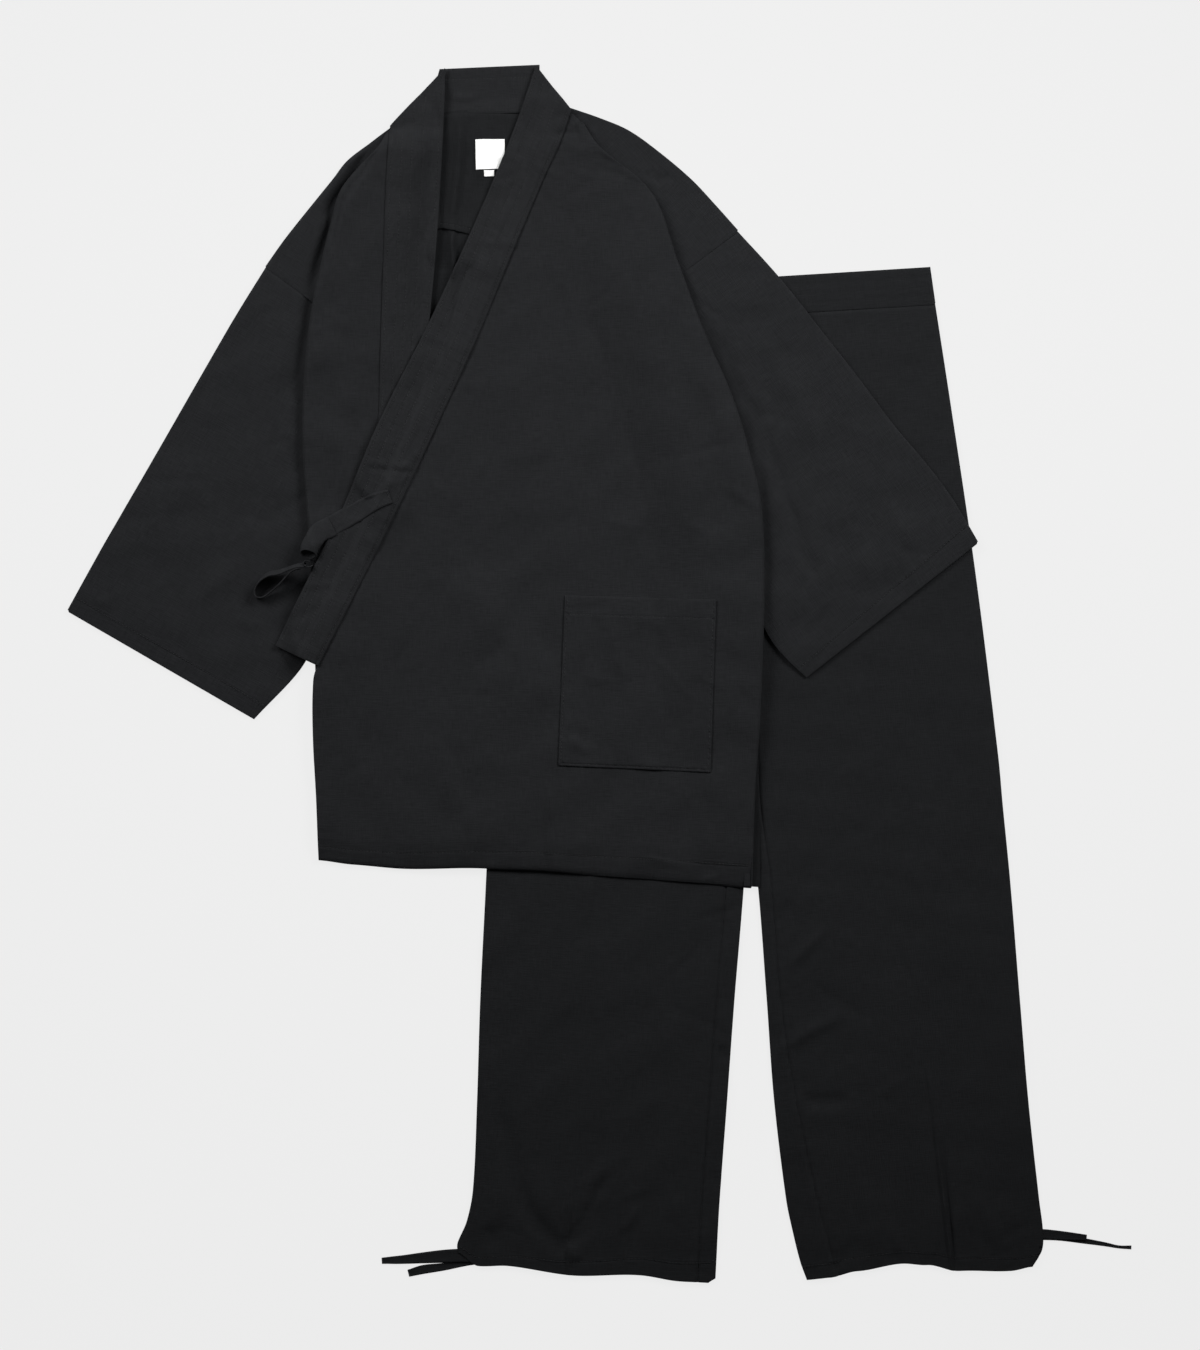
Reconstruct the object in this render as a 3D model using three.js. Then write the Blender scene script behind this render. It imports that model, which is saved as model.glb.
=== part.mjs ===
import * as THREE from 'three';

// Samue: a cotton work jacket and trousers, laid out flat as a set. The trousers lie on the
// surface, turned a few degrees, and the jacket lies half on them with its left front lapped
// over the right one. The body of the jacket is drawn in at the sides, so the edges of both
// fronts are folds that lie over the sleeves.
// Millimetres, +X right, +Y toward the collar, +Z up. Left and right are the wearer's: the
// left front, left sleeve and left leg are on the +X side. The origin is the middle of the
// whole outline on the surface.

const CLOTH = 1.0;            // wall of one layer of cloth
const BAND = 2.0;             // wall of the collar, which is pressed from several layers
const LACE = 1.6;             // wall of a tie, a narrow tube of cloth pressed flat
const GAP = 0.3;              // clearance between a piece and what it lies on
const EASE = 0.3;             // more clearance where a piece lies on steps and folds
const BEND = 0.9;             // radius of a fold, measured to the middle of the wall
const FOLD_RISE = 2 * BEND;   // how much higher the upper wall of a fold lies
const FOLD_STEPS = 4;         // facets round a fold
const MARGIN = 14;            // a piece keeps its full height this far past what carries it
const REACH = 110;            // and comes down to the surface over this further distance
const STIFF = { reach: 50, gap: GAP + EASE };   // the same for the narrow collar and ties
const SOFT_MAX = 0.5;         // rounding where two supports carry a piece in turn
const SEAM_PINCH = 0.5;       // how much lower the upper wall lies along a sewn edge
const SEAM_PINCH_WIDTH = 16;  // over this width
const HEM_FADE = 150;         // a wavy hem straightens out over this height
const CENTRE = { x: -0.12, y: 0.84 };   // middle of the outline in the tables' own frame

const COLOURS = {
  jacket: 0x232426, sleeve: 0x212224, pocket: 0x202123, collar: 0x242527,
  leg: 0x1b1d1e, waistband: 0x252728, yoke: 0x1e1f21, label: 0xe8e8e6,
};

// ---- tables: one row for each section across a piece, from its hem or cuff upward ----

const named = (columns, rows) => {
  const names = columns.split(' ');
  return rows.map((row) => Object.fromEntries(names.map((name, i) => [name, row[i]])));
};

// columns ax ay: the folded edge of a folded piece, or the left edge of a flat one
// columns bx by: the sewn or free edge on the other side
const SECTION = 'ax ay bx by';

const LEG_RIGHT = named(SECTION, [
  [-137, -554.5, 110.8, -579.5],
  [-136.5, -546, 112, -556],
  [-128, -526, 113, -535],
  [-122, -495, 115, -502],
  [-118, -408, 122, -408],
  [-115, -312, 129, -312],
  [-109, -188, 139, -188],
  [-107, -132, 140.6, -125],
  [-106, -92, 138.6, -86],
  [-99, 72, 129.6, 81],
  [-93, 235, 120.5, 246.5],
  [-90, 329, 115.5, 341.5],
]);

const LEG_LEFT = named(SECTION, [
  [416, -568, 198.5, -581],
  [424.5, -553, 192, -563],
  [425, -533, 185, -535],
  [421.4, -504, 178.6, -504],
  [411, -408, 167, -408],
  [403, -312, 160, -312],
  [393.6, -197, 151, -197],
  [386.5, -125, 141.2, -125],
  [382.3, -79, 139.2, -86],
  [360.6, 96, 130.2, 81],
  [336.5, 260, 121.1, 246.5],
  [322, 354, 116.1, 341.5],
]);

const WAISTBAND = named(SECTION, [
  [322, 354.7, -90, 329.8],
  [317, 390, -88, 365],
]);

const SLEEVE_RIGHT = named(SECTION, [
  [-511, 60.5, -332, -43],
  [-479, 119, -284, 10],
  [-447, 175, -270, 54],
  [-416, 229, -263, 118],
  [-385, 283, -259, 190],
  [-352, 340, -256, 262],
  [-321.4, 389.6, -248.4, 336.6],
]);

const SLEEVE_LEFT = named(SECTION, [
  [362.4, 126, 198, -3],
  [339, 166, 178, 16],
  [315, 199, 161, 38],
  [284, 236, 143, 82],
  [249, 283, 121, 140],
  [210, 333, 95, 207],
  [171, 382, 66, 284],
  [133, 424, 41.5, 355.6],
]);

const SHOULDER_RIGHT = named(SECTION, [
  [-321, 390, -248, 337],
  [-302, 417, -236, 361],
  [-272, 455, -229, 394],
  [-256, 475, -222, 418],
  [-242, 493, -214, 442],
  [-217, 513, -203, 466],
  [-205, 522, -195, 490],
]);

const SHOULDER_LEFT = named(SECTION, [
  [132.5, 424.5, 41, 356],
  [111, 449, 25, 381],
  [87, 475, 9, 410],
  [53, 504, -6, 443],
  [26, 523, -20, 482],
  [0, 534, -29, 506],
  [-20, 541, -38, 520],
]);

const JACKET_BACK = named(SECTION, [
  [-267, -174, 153.5, -204],
  [-268, -63, 152, -82],
  [-268, 6, 147, 33],
  [-263, 50, 137, 78],
  [-257, 110, 115, 138],
  [-253, 187, 89, 205],
  [-249, 264, 60, 282],
  [-242, 336, 36, 354],
  [-224, 395, 4, 404],
  [-209, 443, -12, 440],
  [-190, 491, -30, 491],
  [-169, 523, -50, 521],
  [-161, 536, -67, 537],
]);

const FRONT_RIGHT = named(SECTION, [
  [-268, -175, -51, -185],
  [-271, -63, -53, -111],
  [-273, 6, -67, -44],
  [-276, 72, -106, 14],
  [-279, 130, -154, 66],
  [-282, 170, -190, 124],
  [-285, 215, -209, 190],
  [-285, 264, -208, 243],
  [-281, 317, -206.5, 300],
  [-275, 359, -204.5, 352],
  [-266, 400, -203, 396],
  [-258, 433, -201.5, 430],
  [-250, 462, -200, 458],
  [-233, 485, -198.5, 480],
  [-212, 506, -197, 500],
  [-205, 519, -196, 516],
]);

const FRONT_LEFT = named(SECTION, [
  [146, -205, -270, -178],
  [149, -111, -272, -120],
  [153, -53, -275, -63],
  [155.5, 4, -275, -15],
  [156.5, 33, -272, 5],
  [157.5, 81, -244, 65],
  [156.5, 139, -204, 145],
  [151, 182, -169, 218],
  [128, 263, -121, 323],
  [99, 330, -86, 409],
  [74, 397, -57, 477],
  [50, 461, -42, 508],
  [0, 505, -31, 532],
  [-16, 528, -27, 538],
]);

const BACK_YOKE = named(SECTION, [
  [-168, 426, -102, 408],
  [-166, 482, -77, 482],
  [-162, 534.5, -67, 536],
]);

const COLLAR_BACK = named(SECTION, [
  [-166, 537.2, -58, 539],
  [-154, 579, -60, 583.3],
]);

const COLLAR_RIGHT = named(SECTION, [
  [-215, 187, -167, 196],
  [-212, 240, -165, 316],
  [-211, 276, -162, 355],
  [-209, 340, -157.5, 403],
  [-206.5, 407, -153.5, 465],
  [-203.5, 465, -150.7, 539],
  [-199, 524, -150, 580.5],
]);

const COLLAR_LEFT = named(SECTION, [
  [-311, 27.5, -269.8, 8.2],
  [-278.4, 93.6, -240, 66.7],
  [-245.8, 160, -199.7, 147],
  [-212, 240.5, -165, 220],
  [-163, 339, -117, 325],
  [-123, 425.8, -81.6, 411],
  [-91.7, 499, -52.8, 478.6],
  [-75.8, 541, -38.4, 510],
  [-61.4, 584.2, -27.4, 541],
]);

const POCKET = named(SECTION, [
  [-40, -87.4, 106, -94],
  [-33.6, 75.8, 111, 71.5],
]);

const NECK_LABEL = named(SECTION, [
  [-119, 484, -91, 485],
  [-119.5, 513, -91.5, 513.4],
]);

const LABEL_TAB = named(SECTION, [
  [-111, 477.5, -101.5, 477.8],
  [-111.3, 483.4, -101.4, 483.6],
]);

// columns across: 0 at the folded edge, 1 at the other; drop: the hem below a straight line
const HEM = 'across drop';
const LEG_RIGHT_HEM = named(HEM, [
  [0, 0], [0.08, 11], [0.2, 8], [0.43, 11], [0.72, 4.2], [0.85, 6.3], [0.97, 5], [1, 0],
]);
const LEG_LEFT_HEM = named(HEM, [
  [0, 0], [0.1, 3], [0.33, 0], [0.47, -7.5], [0.58, -10.3], [0.78, -5.6], [0.9, -1], [1, 0],
]);
const FRONT_LEFT_HEM = named(HEM, [
  [0, 0], [0.13, -1.5], [0.35, -2.5], [0.48, -4], [0.61, -2.5], [0.82, 3], [0.92, 2], [1, 0],
]);
const YOKE_HEM = named(HEM, [[0, 0], [0.3, -7], [0.6, -8], [1, 0]]);

// columns along: 0 at the hem, 1 at the top; width: how far a front is folded under itself
const TURN = 'along width';
const FRONT_RIGHT_TURN = named(TURN, [
  [0, 8], [0.22, 10], [0.32, 26], [0.5, 34], [0.72, 34], [0.85, 26], [0.95, 9], [1, 4],
]);
const FRONT_LEFT_TURN = named(TURN, [
  [0, 8], [0.14, 10], [0.24, 30], [0.5, 38], [0.75, 36], [0.88, 22], [0.96, 10], [1, 5],
]);

// columns x y: the middle of a tie; wide: its width there
const LACE_ROW = 'x y wide';
const TIE_BAND = named(LACE_ROW, [
  [-202, 171, 14], [-230, 158, 15], [-250, 146, 14], [-262, 139, 13],
]);
const HEM_TIES = {
  hem_tie_right_upper: named(LACE_ROW, [
    [-138, -550.2, 6], [-152, -553.2, 7], [-182, -560, 6], [-209, -563.5, 5],
  ]),
  hem_tie_right_lower: named(LACE_ROW, [
    [-128, -562.5, 8], [-144, -566.3, 8], [-164, -572, 7], [-183.5, -577, 6.5],
  ]),
  hem_tie_left_upper: named(LACE_ROW, [
    [425.8, -530, 6], [440, -533, 5.5], [453, -535.5, 5], [466, -537.5, 5],
  ]),
  hem_tie_left_lower: named(LACE_ROW, [
    [425.9, -539, 7], [450, -543.5, 6], [482, -548.5, 6], [510.6, -550.5, 5],
  ]),
};

// columns x y: the middle of the bow's loop, out to its tip and back; rise: above what it lies on
const TIE_LOOP = named('x y rise', [
  [-286.2, 115.6, 5], [-304, 104, 6.2], [-318, 93, 6.4], [-326, 83, 5.4],
  [-327.5, 79, 3.6], [-324, 77, 1.8], [-314, 84, 1.2], [-302, 93, 1.2], [-290, 102, 1.4],
]);
const LOOP_WIDTH = 11;
const KNOT = { x: -273, y: 125, long: 38, wide: 21, high: 8, turn: -28, steps: 14 };

// ---- curves through the tables ----

const lerp = THREE.MathUtils.lerp;
const smooth = THREE.MathUtils.smoothstep;

// a value read from a table between two of its rows
function lookUp(table, key, value, at) {
  const above = Math.max(1, table.findIndex((row) => row[key] >= at));
  const low = table[above - 1];
  const high = table[above];
  return lerp(low[value], high[value], smooth(at, low[key], high[key]));
}

// both edges of a piece as curves that run level with each other from its hem upward
function edges(sections) {
  const rows = sections.map((s) => new THREE.Vector4(s.ax, s.ay, s.bx, s.by));
  const steps = rows.slice(1).map((row, i) => row.clone().sub(rows[i]).length());
  const length = steps.reduce((sum, step) => sum + step, 0);
  const places = [0];
  for (const step of steps) places.push(places.at(-1) + step / length);
  return (along) => {
    const next = Math.max(1, places.findIndex((place) => place >= along - 1e-9));
    const part = (along - places[next - 1]) / (places[next] - places[next - 1]);
    const slope = (i) => {
      const before = Math.max(i - 1, 0);
      const after = Math.min(i + 1, rows.length - 1);
      return rows[after].clone().sub(rows[before])
        .multiplyScalar((places[next] - places[next - 1]) / (places[after] - places[before]));
    };
    const square = part * part;
    const cube = square * part;
    return rows[next - 1].clone().multiplyScalar(2 * cube - 3 * square + 1)
      .addScaledVector(slope(next - 1), cube - 2 * square + part)
      .addScaledVector(rows[next], 3 * square - 2 * cube)
      .addScaledVector(slope(next), cube - square);
  };
}

// a strip of the given width along a path, as sections
function stripSections(path) {
  return path.map((row, i) => {
    const before = path[Math.max(i - 1, 0)];
    const after = path[Math.min(i + 1, path.length - 1)];
    const side = new THREE.Vector2(before.y - after.y, after.x - before.x).setLength(row.wide / 2);
    return { ax: row.x + side.x, ay: row.y + side.y, bx: row.x - side.x, by: row.y - side.y };
  });
}

// ---- how high a piece lies ----

const OUTLINE_STEPS = 24;

// the outline, in plan, of the part of a piece between two fractions of its width
function outlineOf(edge, inner) {
  const fold = [];
  const open = [];
  for (let i = 0; i <= OUTLINE_STEPS; i += 1) {
    const row = edge(i / OUTLINE_STEPS);
    const share = inner(i / OUTLINE_STEPS, row);
    fold.push({ x: row.x, y: row.y });
    open.unshift({ x: lerp(row.x, row.z, share), y: lerp(row.y, row.w, share) });
  }
  return [...fold, ...open];
}

// distance in plan from a point to an outline, 0 inside it
function distanceTo(outline, x, y) {
  let inside = false;
  let nearest = Infinity;
  outline.forEach((a, i) => {
    const b = outline[(i + 1) % outline.length];
    if (a.y > y !== b.y > y && x < ((b.x - a.x) * (y - a.y)) / (b.y - a.y) + a.x) inside = !inside;
    const square = (b.x - a.x) ** 2 + (b.y - a.y) ** 2;
    const dot = (x - a.x) * (b.x - a.x) + (y - a.y) * (b.y - a.y);
    const share = square > 0 ? THREE.MathUtils.clamp(dot / square, 0, 1) : 0;
    nearest = Math.min(nearest, Math.hypot(lerp(a.x, b.x, share) - x, lerp(a.y, b.y, share) - y));
  });
  return inside ? 0 : nearest;
}

function softMax(a, b) {
  const soft = Math.min(SOFT_MAX, a, b);
  const overlap = Math.max(soft - Math.abs(a - b), 0);
  return Math.max(a, b) + (soft > 0 ? (overlap * overlap) / (4 * soft) : 0);
}

// the height at which a piece rests on the given supports, or 0 on the bare surface
function restOn(supports, { reach = REACH, gap = GAP } = {}) {
  return (x, y) => supports.reduce((height, support) => {
    const away = distanceTo(support.outline, x, y);
    if (away >= MARGIN + reach) return height;
    const share = 1 - smooth(away, MARGIN, MARGIN + reach);
    return softMax(height, (support.top(x, y) + gap) * share);
  }, 0);
}

// ---- solids ----

const garment = new THREE.Group();
const finish = (colour) => new THREE.MeshStandardMaterial({ color: colour, roughness: 0.95, metalness: 0 });

function addMesh(name, geometry, colour) {
  const mesh = new THREE.Mesh(geometry, finish(colour));
  mesh.name = name;
  garment.add(mesh);
  return mesh;
}

// a closed wall of even thickness about a grid of points on its middle surface
function wall(grid, thickness) {
  const rows = grid.length;
  const columns = grid[0].length;
  const faces = { over: [], under: [] };
  const clampRow = (i) => Math.min(Math.max(i, 0), rows - 1);
  const clampColumn = (j) => Math.min(Math.max(j, 0), columns - 1);
  for (let i = 0; i < rows; i += 1) {
    for (let j = 0; j < columns; j += 1) {
      const across = grid[i][clampColumn(j + 1)].clone().sub(grid[i][clampColumn(j - 1)]);
      const along = grid[clampRow(i + 1)][j].clone().sub(grid[clampRow(i - 1)][j]);
      const normal = across.cross(along).setLength(thickness / 2);
      faces.over.push(grid[i][j].clone().add(normal));
      faces.under.push(grid[i][j].clone().sub(normal));
    }
  }
  const points = [...faces.over, ...faces.under];
  const over = (i, j) => i * columns + j;
  const under = (i, j) => rows * columns + over(i, j);
  const index = [];
  const quad = (a, b, c, d) => index.push(a, b, c, a, c, d);
  for (let i = 0; i < rows - 1; i += 1) {
    for (let j = 0; j < columns - 1; j += 1) {
      quad(over(i, j), over(i, j + 1), over(i + 1, j + 1), over(i + 1, j));
      quad(under(i, j), under(i + 1, j), under(i + 1, j + 1), under(i, j + 1));
    }
    quad(over(i, 0), over(i + 1, 0), under(i + 1, 0), under(i, 0));
    quad(over(i + 1, columns - 1), over(i, columns - 1), under(i, columns - 1), under(i + 1, columns - 1));
  }
  for (let j = 0; j < columns - 1; j += 1) {
    quad(over(0, j + 1), over(0, j), under(0, j), under(0, j + 1));
    quad(over(rows - 1, j), over(rows - 1, j + 1), under(rows - 1, j + 1), under(rows - 1, j));
  }
  return new THREE.BufferGeometry().setFromPoints(points).setIndex(index);
}

// a single layer of cloth between its two edges
function layPanel(name, colour, sections, { across, along, on, hem, thick = CLOTH, ...rest }) {
  const edge = edges(sections);
  const base = restOn(on, rest);
  const height = edgeHeight(sections);
  const grid = [];
  for (let i = 0; i <= along; i += 1) {
    const row = edge(i / along);
    const points = [];
    for (let j = 0; j <= across; j += 1) {
      const share = j / across;
      const x = lerp(row.x, row.z, share);
      const y = lerp(row.y, row.w, share) - hemDrop(hem, share, (i / along) * height);
      points.push(new THREE.Vector3(x, y, base(x, y) + thick / 2));
    }
    grid.push(points);
  }
  addMesh(name, wall(grid, thick), colour);
  return { outline: outlineOf(edge, () => 1), top: (x, y) => base(x, y) + thick };
}

function edgeHeight(sections) {
  const first = sections[0];
  const last = sections.at(-1);
  return Math.hypot(last.ax - first.ax, last.ay - first.ay);
}

function hemDrop(hem, share, above) {
  return hem && above < HEM_FADE ? lookUp(hem, 'across', 'drop', share) * (1 - above / HEM_FADE) : 0;
}

// cloth folded over along one edge: the layer under the fold is as wide as the turn table says,
// or as wide as the piece, which makes a flat tube that is sewn along its other edge
// rows stand evenly where crowd is 1 and closer toward the hem where it is more
function layFolded(name, colour, sections, options) {
  const { across, along, on, hem, turn, turned = across, crowd = 1, ...rest } = options;
  const edge = edges(sections);
  const base = restOn(on, rest);
  const height = edgeHeight(sections);
  const outside = BEND + CLOTH / 2;
  const turnShare = (v, row) => {
    const width = Math.hypot(row.z - row.x, row.w - row.y);
    return turn ? Math.min(lookUp(turn, 'along', 'width', v) / width, 0.92) : 1;
  };
  const under = {
    outline: outlineOf(edge, turnShare),
    top: (x, y) => base(x, y) + FOLD_RISE - (rest.gap ?? GAP),
  };
  const upper = turn ? restOn([...on, under], rest) : (x, y) => base(x, y) + FOLD_RISE;
  const grid = [];
  for (let i = 0; i <= along; i += 1) {
    const up = (i / along) ** crowd;
    const row = edge(up);
    const width = Math.hypot(row.z - row.x, row.w - row.y);
    const bent = outside / width;
    const place = (share) => {
      const x = lerp(row.x, row.z, share);
      const y = lerp(row.y, row.w, share) - hemDrop(hem, share, up * height);
      return { x, y };
    };
    const points = [];
    const last = turnShare(up, row);
    for (let j = 0; j < turned; j += 1) {
      const { x, y } = place(lerp(last, bent, j / turned));
      points.push(new THREE.Vector3(x, y, base(x, y) + CLOTH / 2));
    }
    const middle = place(bent);
    for (let k = 0; k <= FOLD_STEPS; k += 1) {
      const angle = Math.PI * (k / FOLD_STEPS - 0.5);
      const { x, y } = place((outside - BEND * Math.cos(angle)) / width);
      const z = base(middle.x, middle.y) + CLOTH / 2 + BEND * (1 + Math.sin(angle));
      points.push(new THREE.Vector3(x, y, z));
    }
    for (let j = 1; j <= across; j += 1) {
      const share = lerp(bent, 1, j / across);
      const { x, y } = place(share);
      const pinch = turn ? 0 : SEAM_PINCH * smooth(share * width, width - SEAM_PINCH_WIDTH, width);
      points.push(new THREE.Vector3(x, y, upper(x, y) + CLOTH / 2 - pinch));
    }
    grid.push(points);
  }
  addMesh(name, wall(grid, CLOTH), colour);
  return { outline: outlineOf(edge, () => 1), top: (x, y) => upper(x, y) + CLOTH };
}

// the loop of the bow: a flat tie that runs out, bends back and returns beneath itself
function layLoop(name, colour, path, on) {
  const base = restOn(on, STIFF);
  const curve = new THREE.CatmullRomCurve3(
    path.map((row) => new THREE.Vector3(row.x, row.y, base(row.x, row.y) + row.rise)),
  );
  const steps = 18;
  const heading = new THREE.Vector3(path[2].x - path[0].x, path[2].y - path[0].y, 0);
  const side = new THREE.Vector3(-heading.y, heading.x, 0).setLength(LOOP_WIDTH / 2);
  const grid = curve.getSpacedPoints(steps).map((point) => (
    [-1, 0, 1].map((edge) => point.clone().addScaledVector(side, edge))
  ));
  addMesh(name, wall(grid, LACE), colour);
}

// the knot: a rounded lump, flattened where it lies on the cloth
function layKnot(name, colour, knot, on) {
  const base = restOn(on, STIFF);
  const geometry = new THREE.SphereGeometry(0.5, knot.steps, knot.steps / 2);
  geometry.rotateX(Math.PI / 2);
  geometry.scale(knot.wide, knot.long, knot.high);
  geometry.rotateZ(THREE.MathUtils.degToRad(knot.turn));
  const floor = base(knot.x, knot.y);
  geometry.translate(knot.x, knot.y, floor + knot.high * 0.3);
  const spots = geometry.attributes.position;
  for (let i = 0; i < spots.count; i += 1) spots.setZ(i, Math.max(spots.getZ(i), floor + GAP));
  addMesh(name, geometry, colour);
}

// ---- trousers ----

const LEG_GRID = { across: 8, along: 17, crowd: 1.7, on: [] };
const trousers = [
  layFolded('leg_right', COLOURS.leg, LEG_RIGHT, { ...LEG_GRID, hem: LEG_RIGHT_HEM }),
  layFolded('leg_left', COLOURS.leg, LEG_LEFT, { ...LEG_GRID, hem: LEG_LEFT_HEM }),
  layFolded('waistband', COLOURS.waistband, WAISTBAND, { across: 8, along: 2, on: [] }),
];

for (const [name, path] of Object.entries(HEM_TIES)) {
  layPanel(name, COLOURS.leg, stripSections(path), { across: 1, along: 6, on: [], thick: LACE });
}

// ---- jacket, from the surface upward ----

const back = layPanel('jacket_back', COLOURS.jacket, JACKET_BACK, {
  across: 10, along: 18, on: trousers,
});
const sleeveRight = layFolded('sleeve_right', COLOURS.sleeve, SLEEVE_RIGHT, {
  across: 7, along: 12, on: [],
});
const sleeveLeft = layFolded('sleeve_left', COLOURS.sleeve, SLEEVE_LEFT, {
  across: 7, along: 14, on: trousers,
});
const shoulderRight = layFolded('shoulder_right', COLOURS.jacket, SHOULDER_RIGHT, {
  across: 3, along: 8, on: [],
});
const shoulderLeft = layFolded('shoulder_left', COLOURS.jacket, SHOULDER_LEFT, {
  across: 4, along: 9, on: trousers,
});
const yoke = layPanel('back_yoke', COLOURS.yoke, BACK_YOKE, {
  across: 5, along: 6, on: [back], hem: YOKE_HEM,
});
const label = layPanel('neck_label', COLOURS.label, NECK_LABEL, { across: 2, along: 2, on: [yoke] });
layPanel('label_tab', COLOURS.label, LABEL_TAB, { across: 1, along: 1, on: [yoke] });

const frontRight = layFolded('front_right', COLOURS.jacket, FRONT_RIGHT, {
  across: 9, along: 26, on: [back, sleeveRight, shoulderRight, yoke], turn: FRONT_RIGHT_TURN, turned: 2,
});
const collarBack = layPanel('collar_back', COLOURS.collar, COLLAR_BACK, {
  across: 6, along: 3, on: [], thick: BAND,
});
const collarRight = layPanel('collar_right', COLOURS.collar, COLLAR_RIGHT, {
  across: 3, along: 20, on: [yoke, frontRight, collarBack, back], thick: BAND, ...STIFF,
});
const frontLeft = layFolded('front_left', COLOURS.jacket, FRONT_LEFT, {
  across: 14,
  along: 27,
  on: [back, frontRight, sleeveLeft, shoulderLeft, collarRight],
  hem: FRONT_LEFT_HEM,
  turn: FRONT_LEFT_TURN,
  turned: 2,
  gap: GAP + EASE,
});
const collarLeft = layPanel('collar_left', COLOURS.collar, COLLAR_LEFT, {
  across: 3,
  along: 26,
  on: [yoke, frontRight, collarBack, collarRight, frontLeft, sleeveRight, shoulderLeft, label],
  thick: BAND,
  ...STIFF,
});
layPanel('pocket', COLOURS.pocket, POCKET, { across: 6, along: 6, on: [frontLeft], gap: GAP + EASE });

const underTie = [sleeveRight, frontRight, collarLeft, frontLeft];
layPanel('tie_band', COLOURS.collar, stripSections(TIE_BAND), {
  across: 2, along: 10, on: underTie, thick: LACE, reach: STIFF.reach, gap: GAP + 2 * EASE,
});
layKnot('tie_knot', COLOURS.collar, KNOT, underTie);
layLoop('tie_loop', COLOURS.collar, TIE_LOOP, underTie);

garment.position.set(-CENTRE.x, -CENTRE.y, 0);

export default garment;
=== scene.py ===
import math
import random

import bmesh
import bpy
import numpy as np
from mathutils import Matrix, Vector


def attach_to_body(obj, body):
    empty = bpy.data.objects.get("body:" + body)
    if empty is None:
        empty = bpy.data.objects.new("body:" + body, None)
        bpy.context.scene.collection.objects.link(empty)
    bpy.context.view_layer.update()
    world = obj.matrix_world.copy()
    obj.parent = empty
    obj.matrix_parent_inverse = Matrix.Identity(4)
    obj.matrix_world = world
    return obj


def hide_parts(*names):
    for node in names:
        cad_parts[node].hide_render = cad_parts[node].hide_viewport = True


# Samue, a cotton work jacket and trousers, laid out flat. Tables and sizes are in millimetres in
# the same frame as the solids; MM turns them into metres when a mesh is made.

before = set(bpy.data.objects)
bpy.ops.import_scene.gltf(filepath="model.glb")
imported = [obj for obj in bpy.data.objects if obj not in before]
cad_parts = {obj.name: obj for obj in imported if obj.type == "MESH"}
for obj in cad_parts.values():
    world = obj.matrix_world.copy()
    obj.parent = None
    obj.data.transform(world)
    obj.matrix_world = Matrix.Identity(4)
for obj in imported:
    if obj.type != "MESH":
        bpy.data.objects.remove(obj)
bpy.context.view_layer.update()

MM = 0.001
CENTRE = (-0.12, 0.84)     # middle of the outline in the tables' own frame
CLOTH = 1.0                # wall of one layer of cloth
BAND = 1.6                 # wall of the collar
LACE = 1.6                 # wall of a tie
GAP = 0.3                  # clearance between stacked pieces
EASE = 0.3                 # more clearance over steps and folds
MARGIN = 14                # full height is kept this far past what carries a piece
REACH = 110                # and is lost over this further distance
STIFF_REACH = 50           # the same for the narrow collar and ties
SOFT_MAX = 0.5             # rounding where two supports carry a piece in turn
SEAM_PINCH = 0.7           # how much lower the upper wall lies along a sewn edge
SEAM_PINCH_WIDTH = 16
TUCK = 4.0                 # how far cloth runs on under what it is sewn to
TUCK_DROP = 1.0            # and how much lower it lies there
WAVE_FADE = 42             # waves die out over this distance from a hem or a seam
HEM_FADE = 150             # a wavy hem straightens out over this height
FLAT_BEND = 0.9            # radius of a pressed fold, to the middle of the wall
UNDER_SHORT = 1.6          # how far an under layer stops short of the hem above it
CREASE_GAIN = 2.7          # how strongly the tables' creases stand
WAVE_LENGTHS = (38, 130)   # shortest and longest wave of the gentle unevenness
CLOTH_SHARE = 0.9          # how much of a solid's wall its cloth fills
ARC_STEPS = 8              # facets round a fold
OUTLINE_STEPS = 25         # places along each edge of a piece's outline
SAMPLES = 2000             # places at which the spread of a grid's lines is worked out
SPREAD = 3.6               # grid pitch on what shows

# ---- tables: one row for each section across a piece, from its hem or cuff upward ----
# columns: folded (or left) edge x, y, then sewn (or right) edge x, y

LEG_RIGHT = [
    (-137, -554.5, 110.8, -579.5),
    (-136.5, -546, 112, -556),
    (-128, -526, 113, -535),
    (-122, -495, 115, -502),
    (-118, -408, 122, -408),
    (-115, -312, 129, -312),
    (-109, -188, 139, -188),
    (-107, -132, 140.6, -125),
    (-106, -92, 138.6, -86),
    (-99, 72, 129.6, 81),
    (-93, 235, 120.5, 246.5),
    (-90, 329, 115.5, 341.5),
]
LEG_LEFT = [
    (416, -568, 198.5, -581),
    (424.5, -553, 192, -563),
    (425, -533, 185, -535),
    (421.4, -504, 178.6, -504),
    (411, -408, 167, -408),
    (403, -312, 160, -312),
    (393.6, -197, 151, -197),
    (386.5, -125, 141.2, -125),
    (382.3, -79, 139.2, -86),
    (360.6, 96, 130.2, 81),
    (336.5, 260, 121.1, 246.5),
    (322, 354, 116.1, 341.5),
]
WAISTBAND = [
    (322, 354.7, -90, 329.8),
    (317, 390, -88, 365),
]
SLEEVE_RIGHT = [
    (-511, 60.5, -332, -43),
    (-479, 119, -284, 10),
    (-447, 175, -270, 54),
    (-416, 229, -263, 118),
    (-385, 283, -259, 190),
    (-352, 340, -256, 262),
    (-321.4, 389.6, -248.4, 336.6),
]
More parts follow.
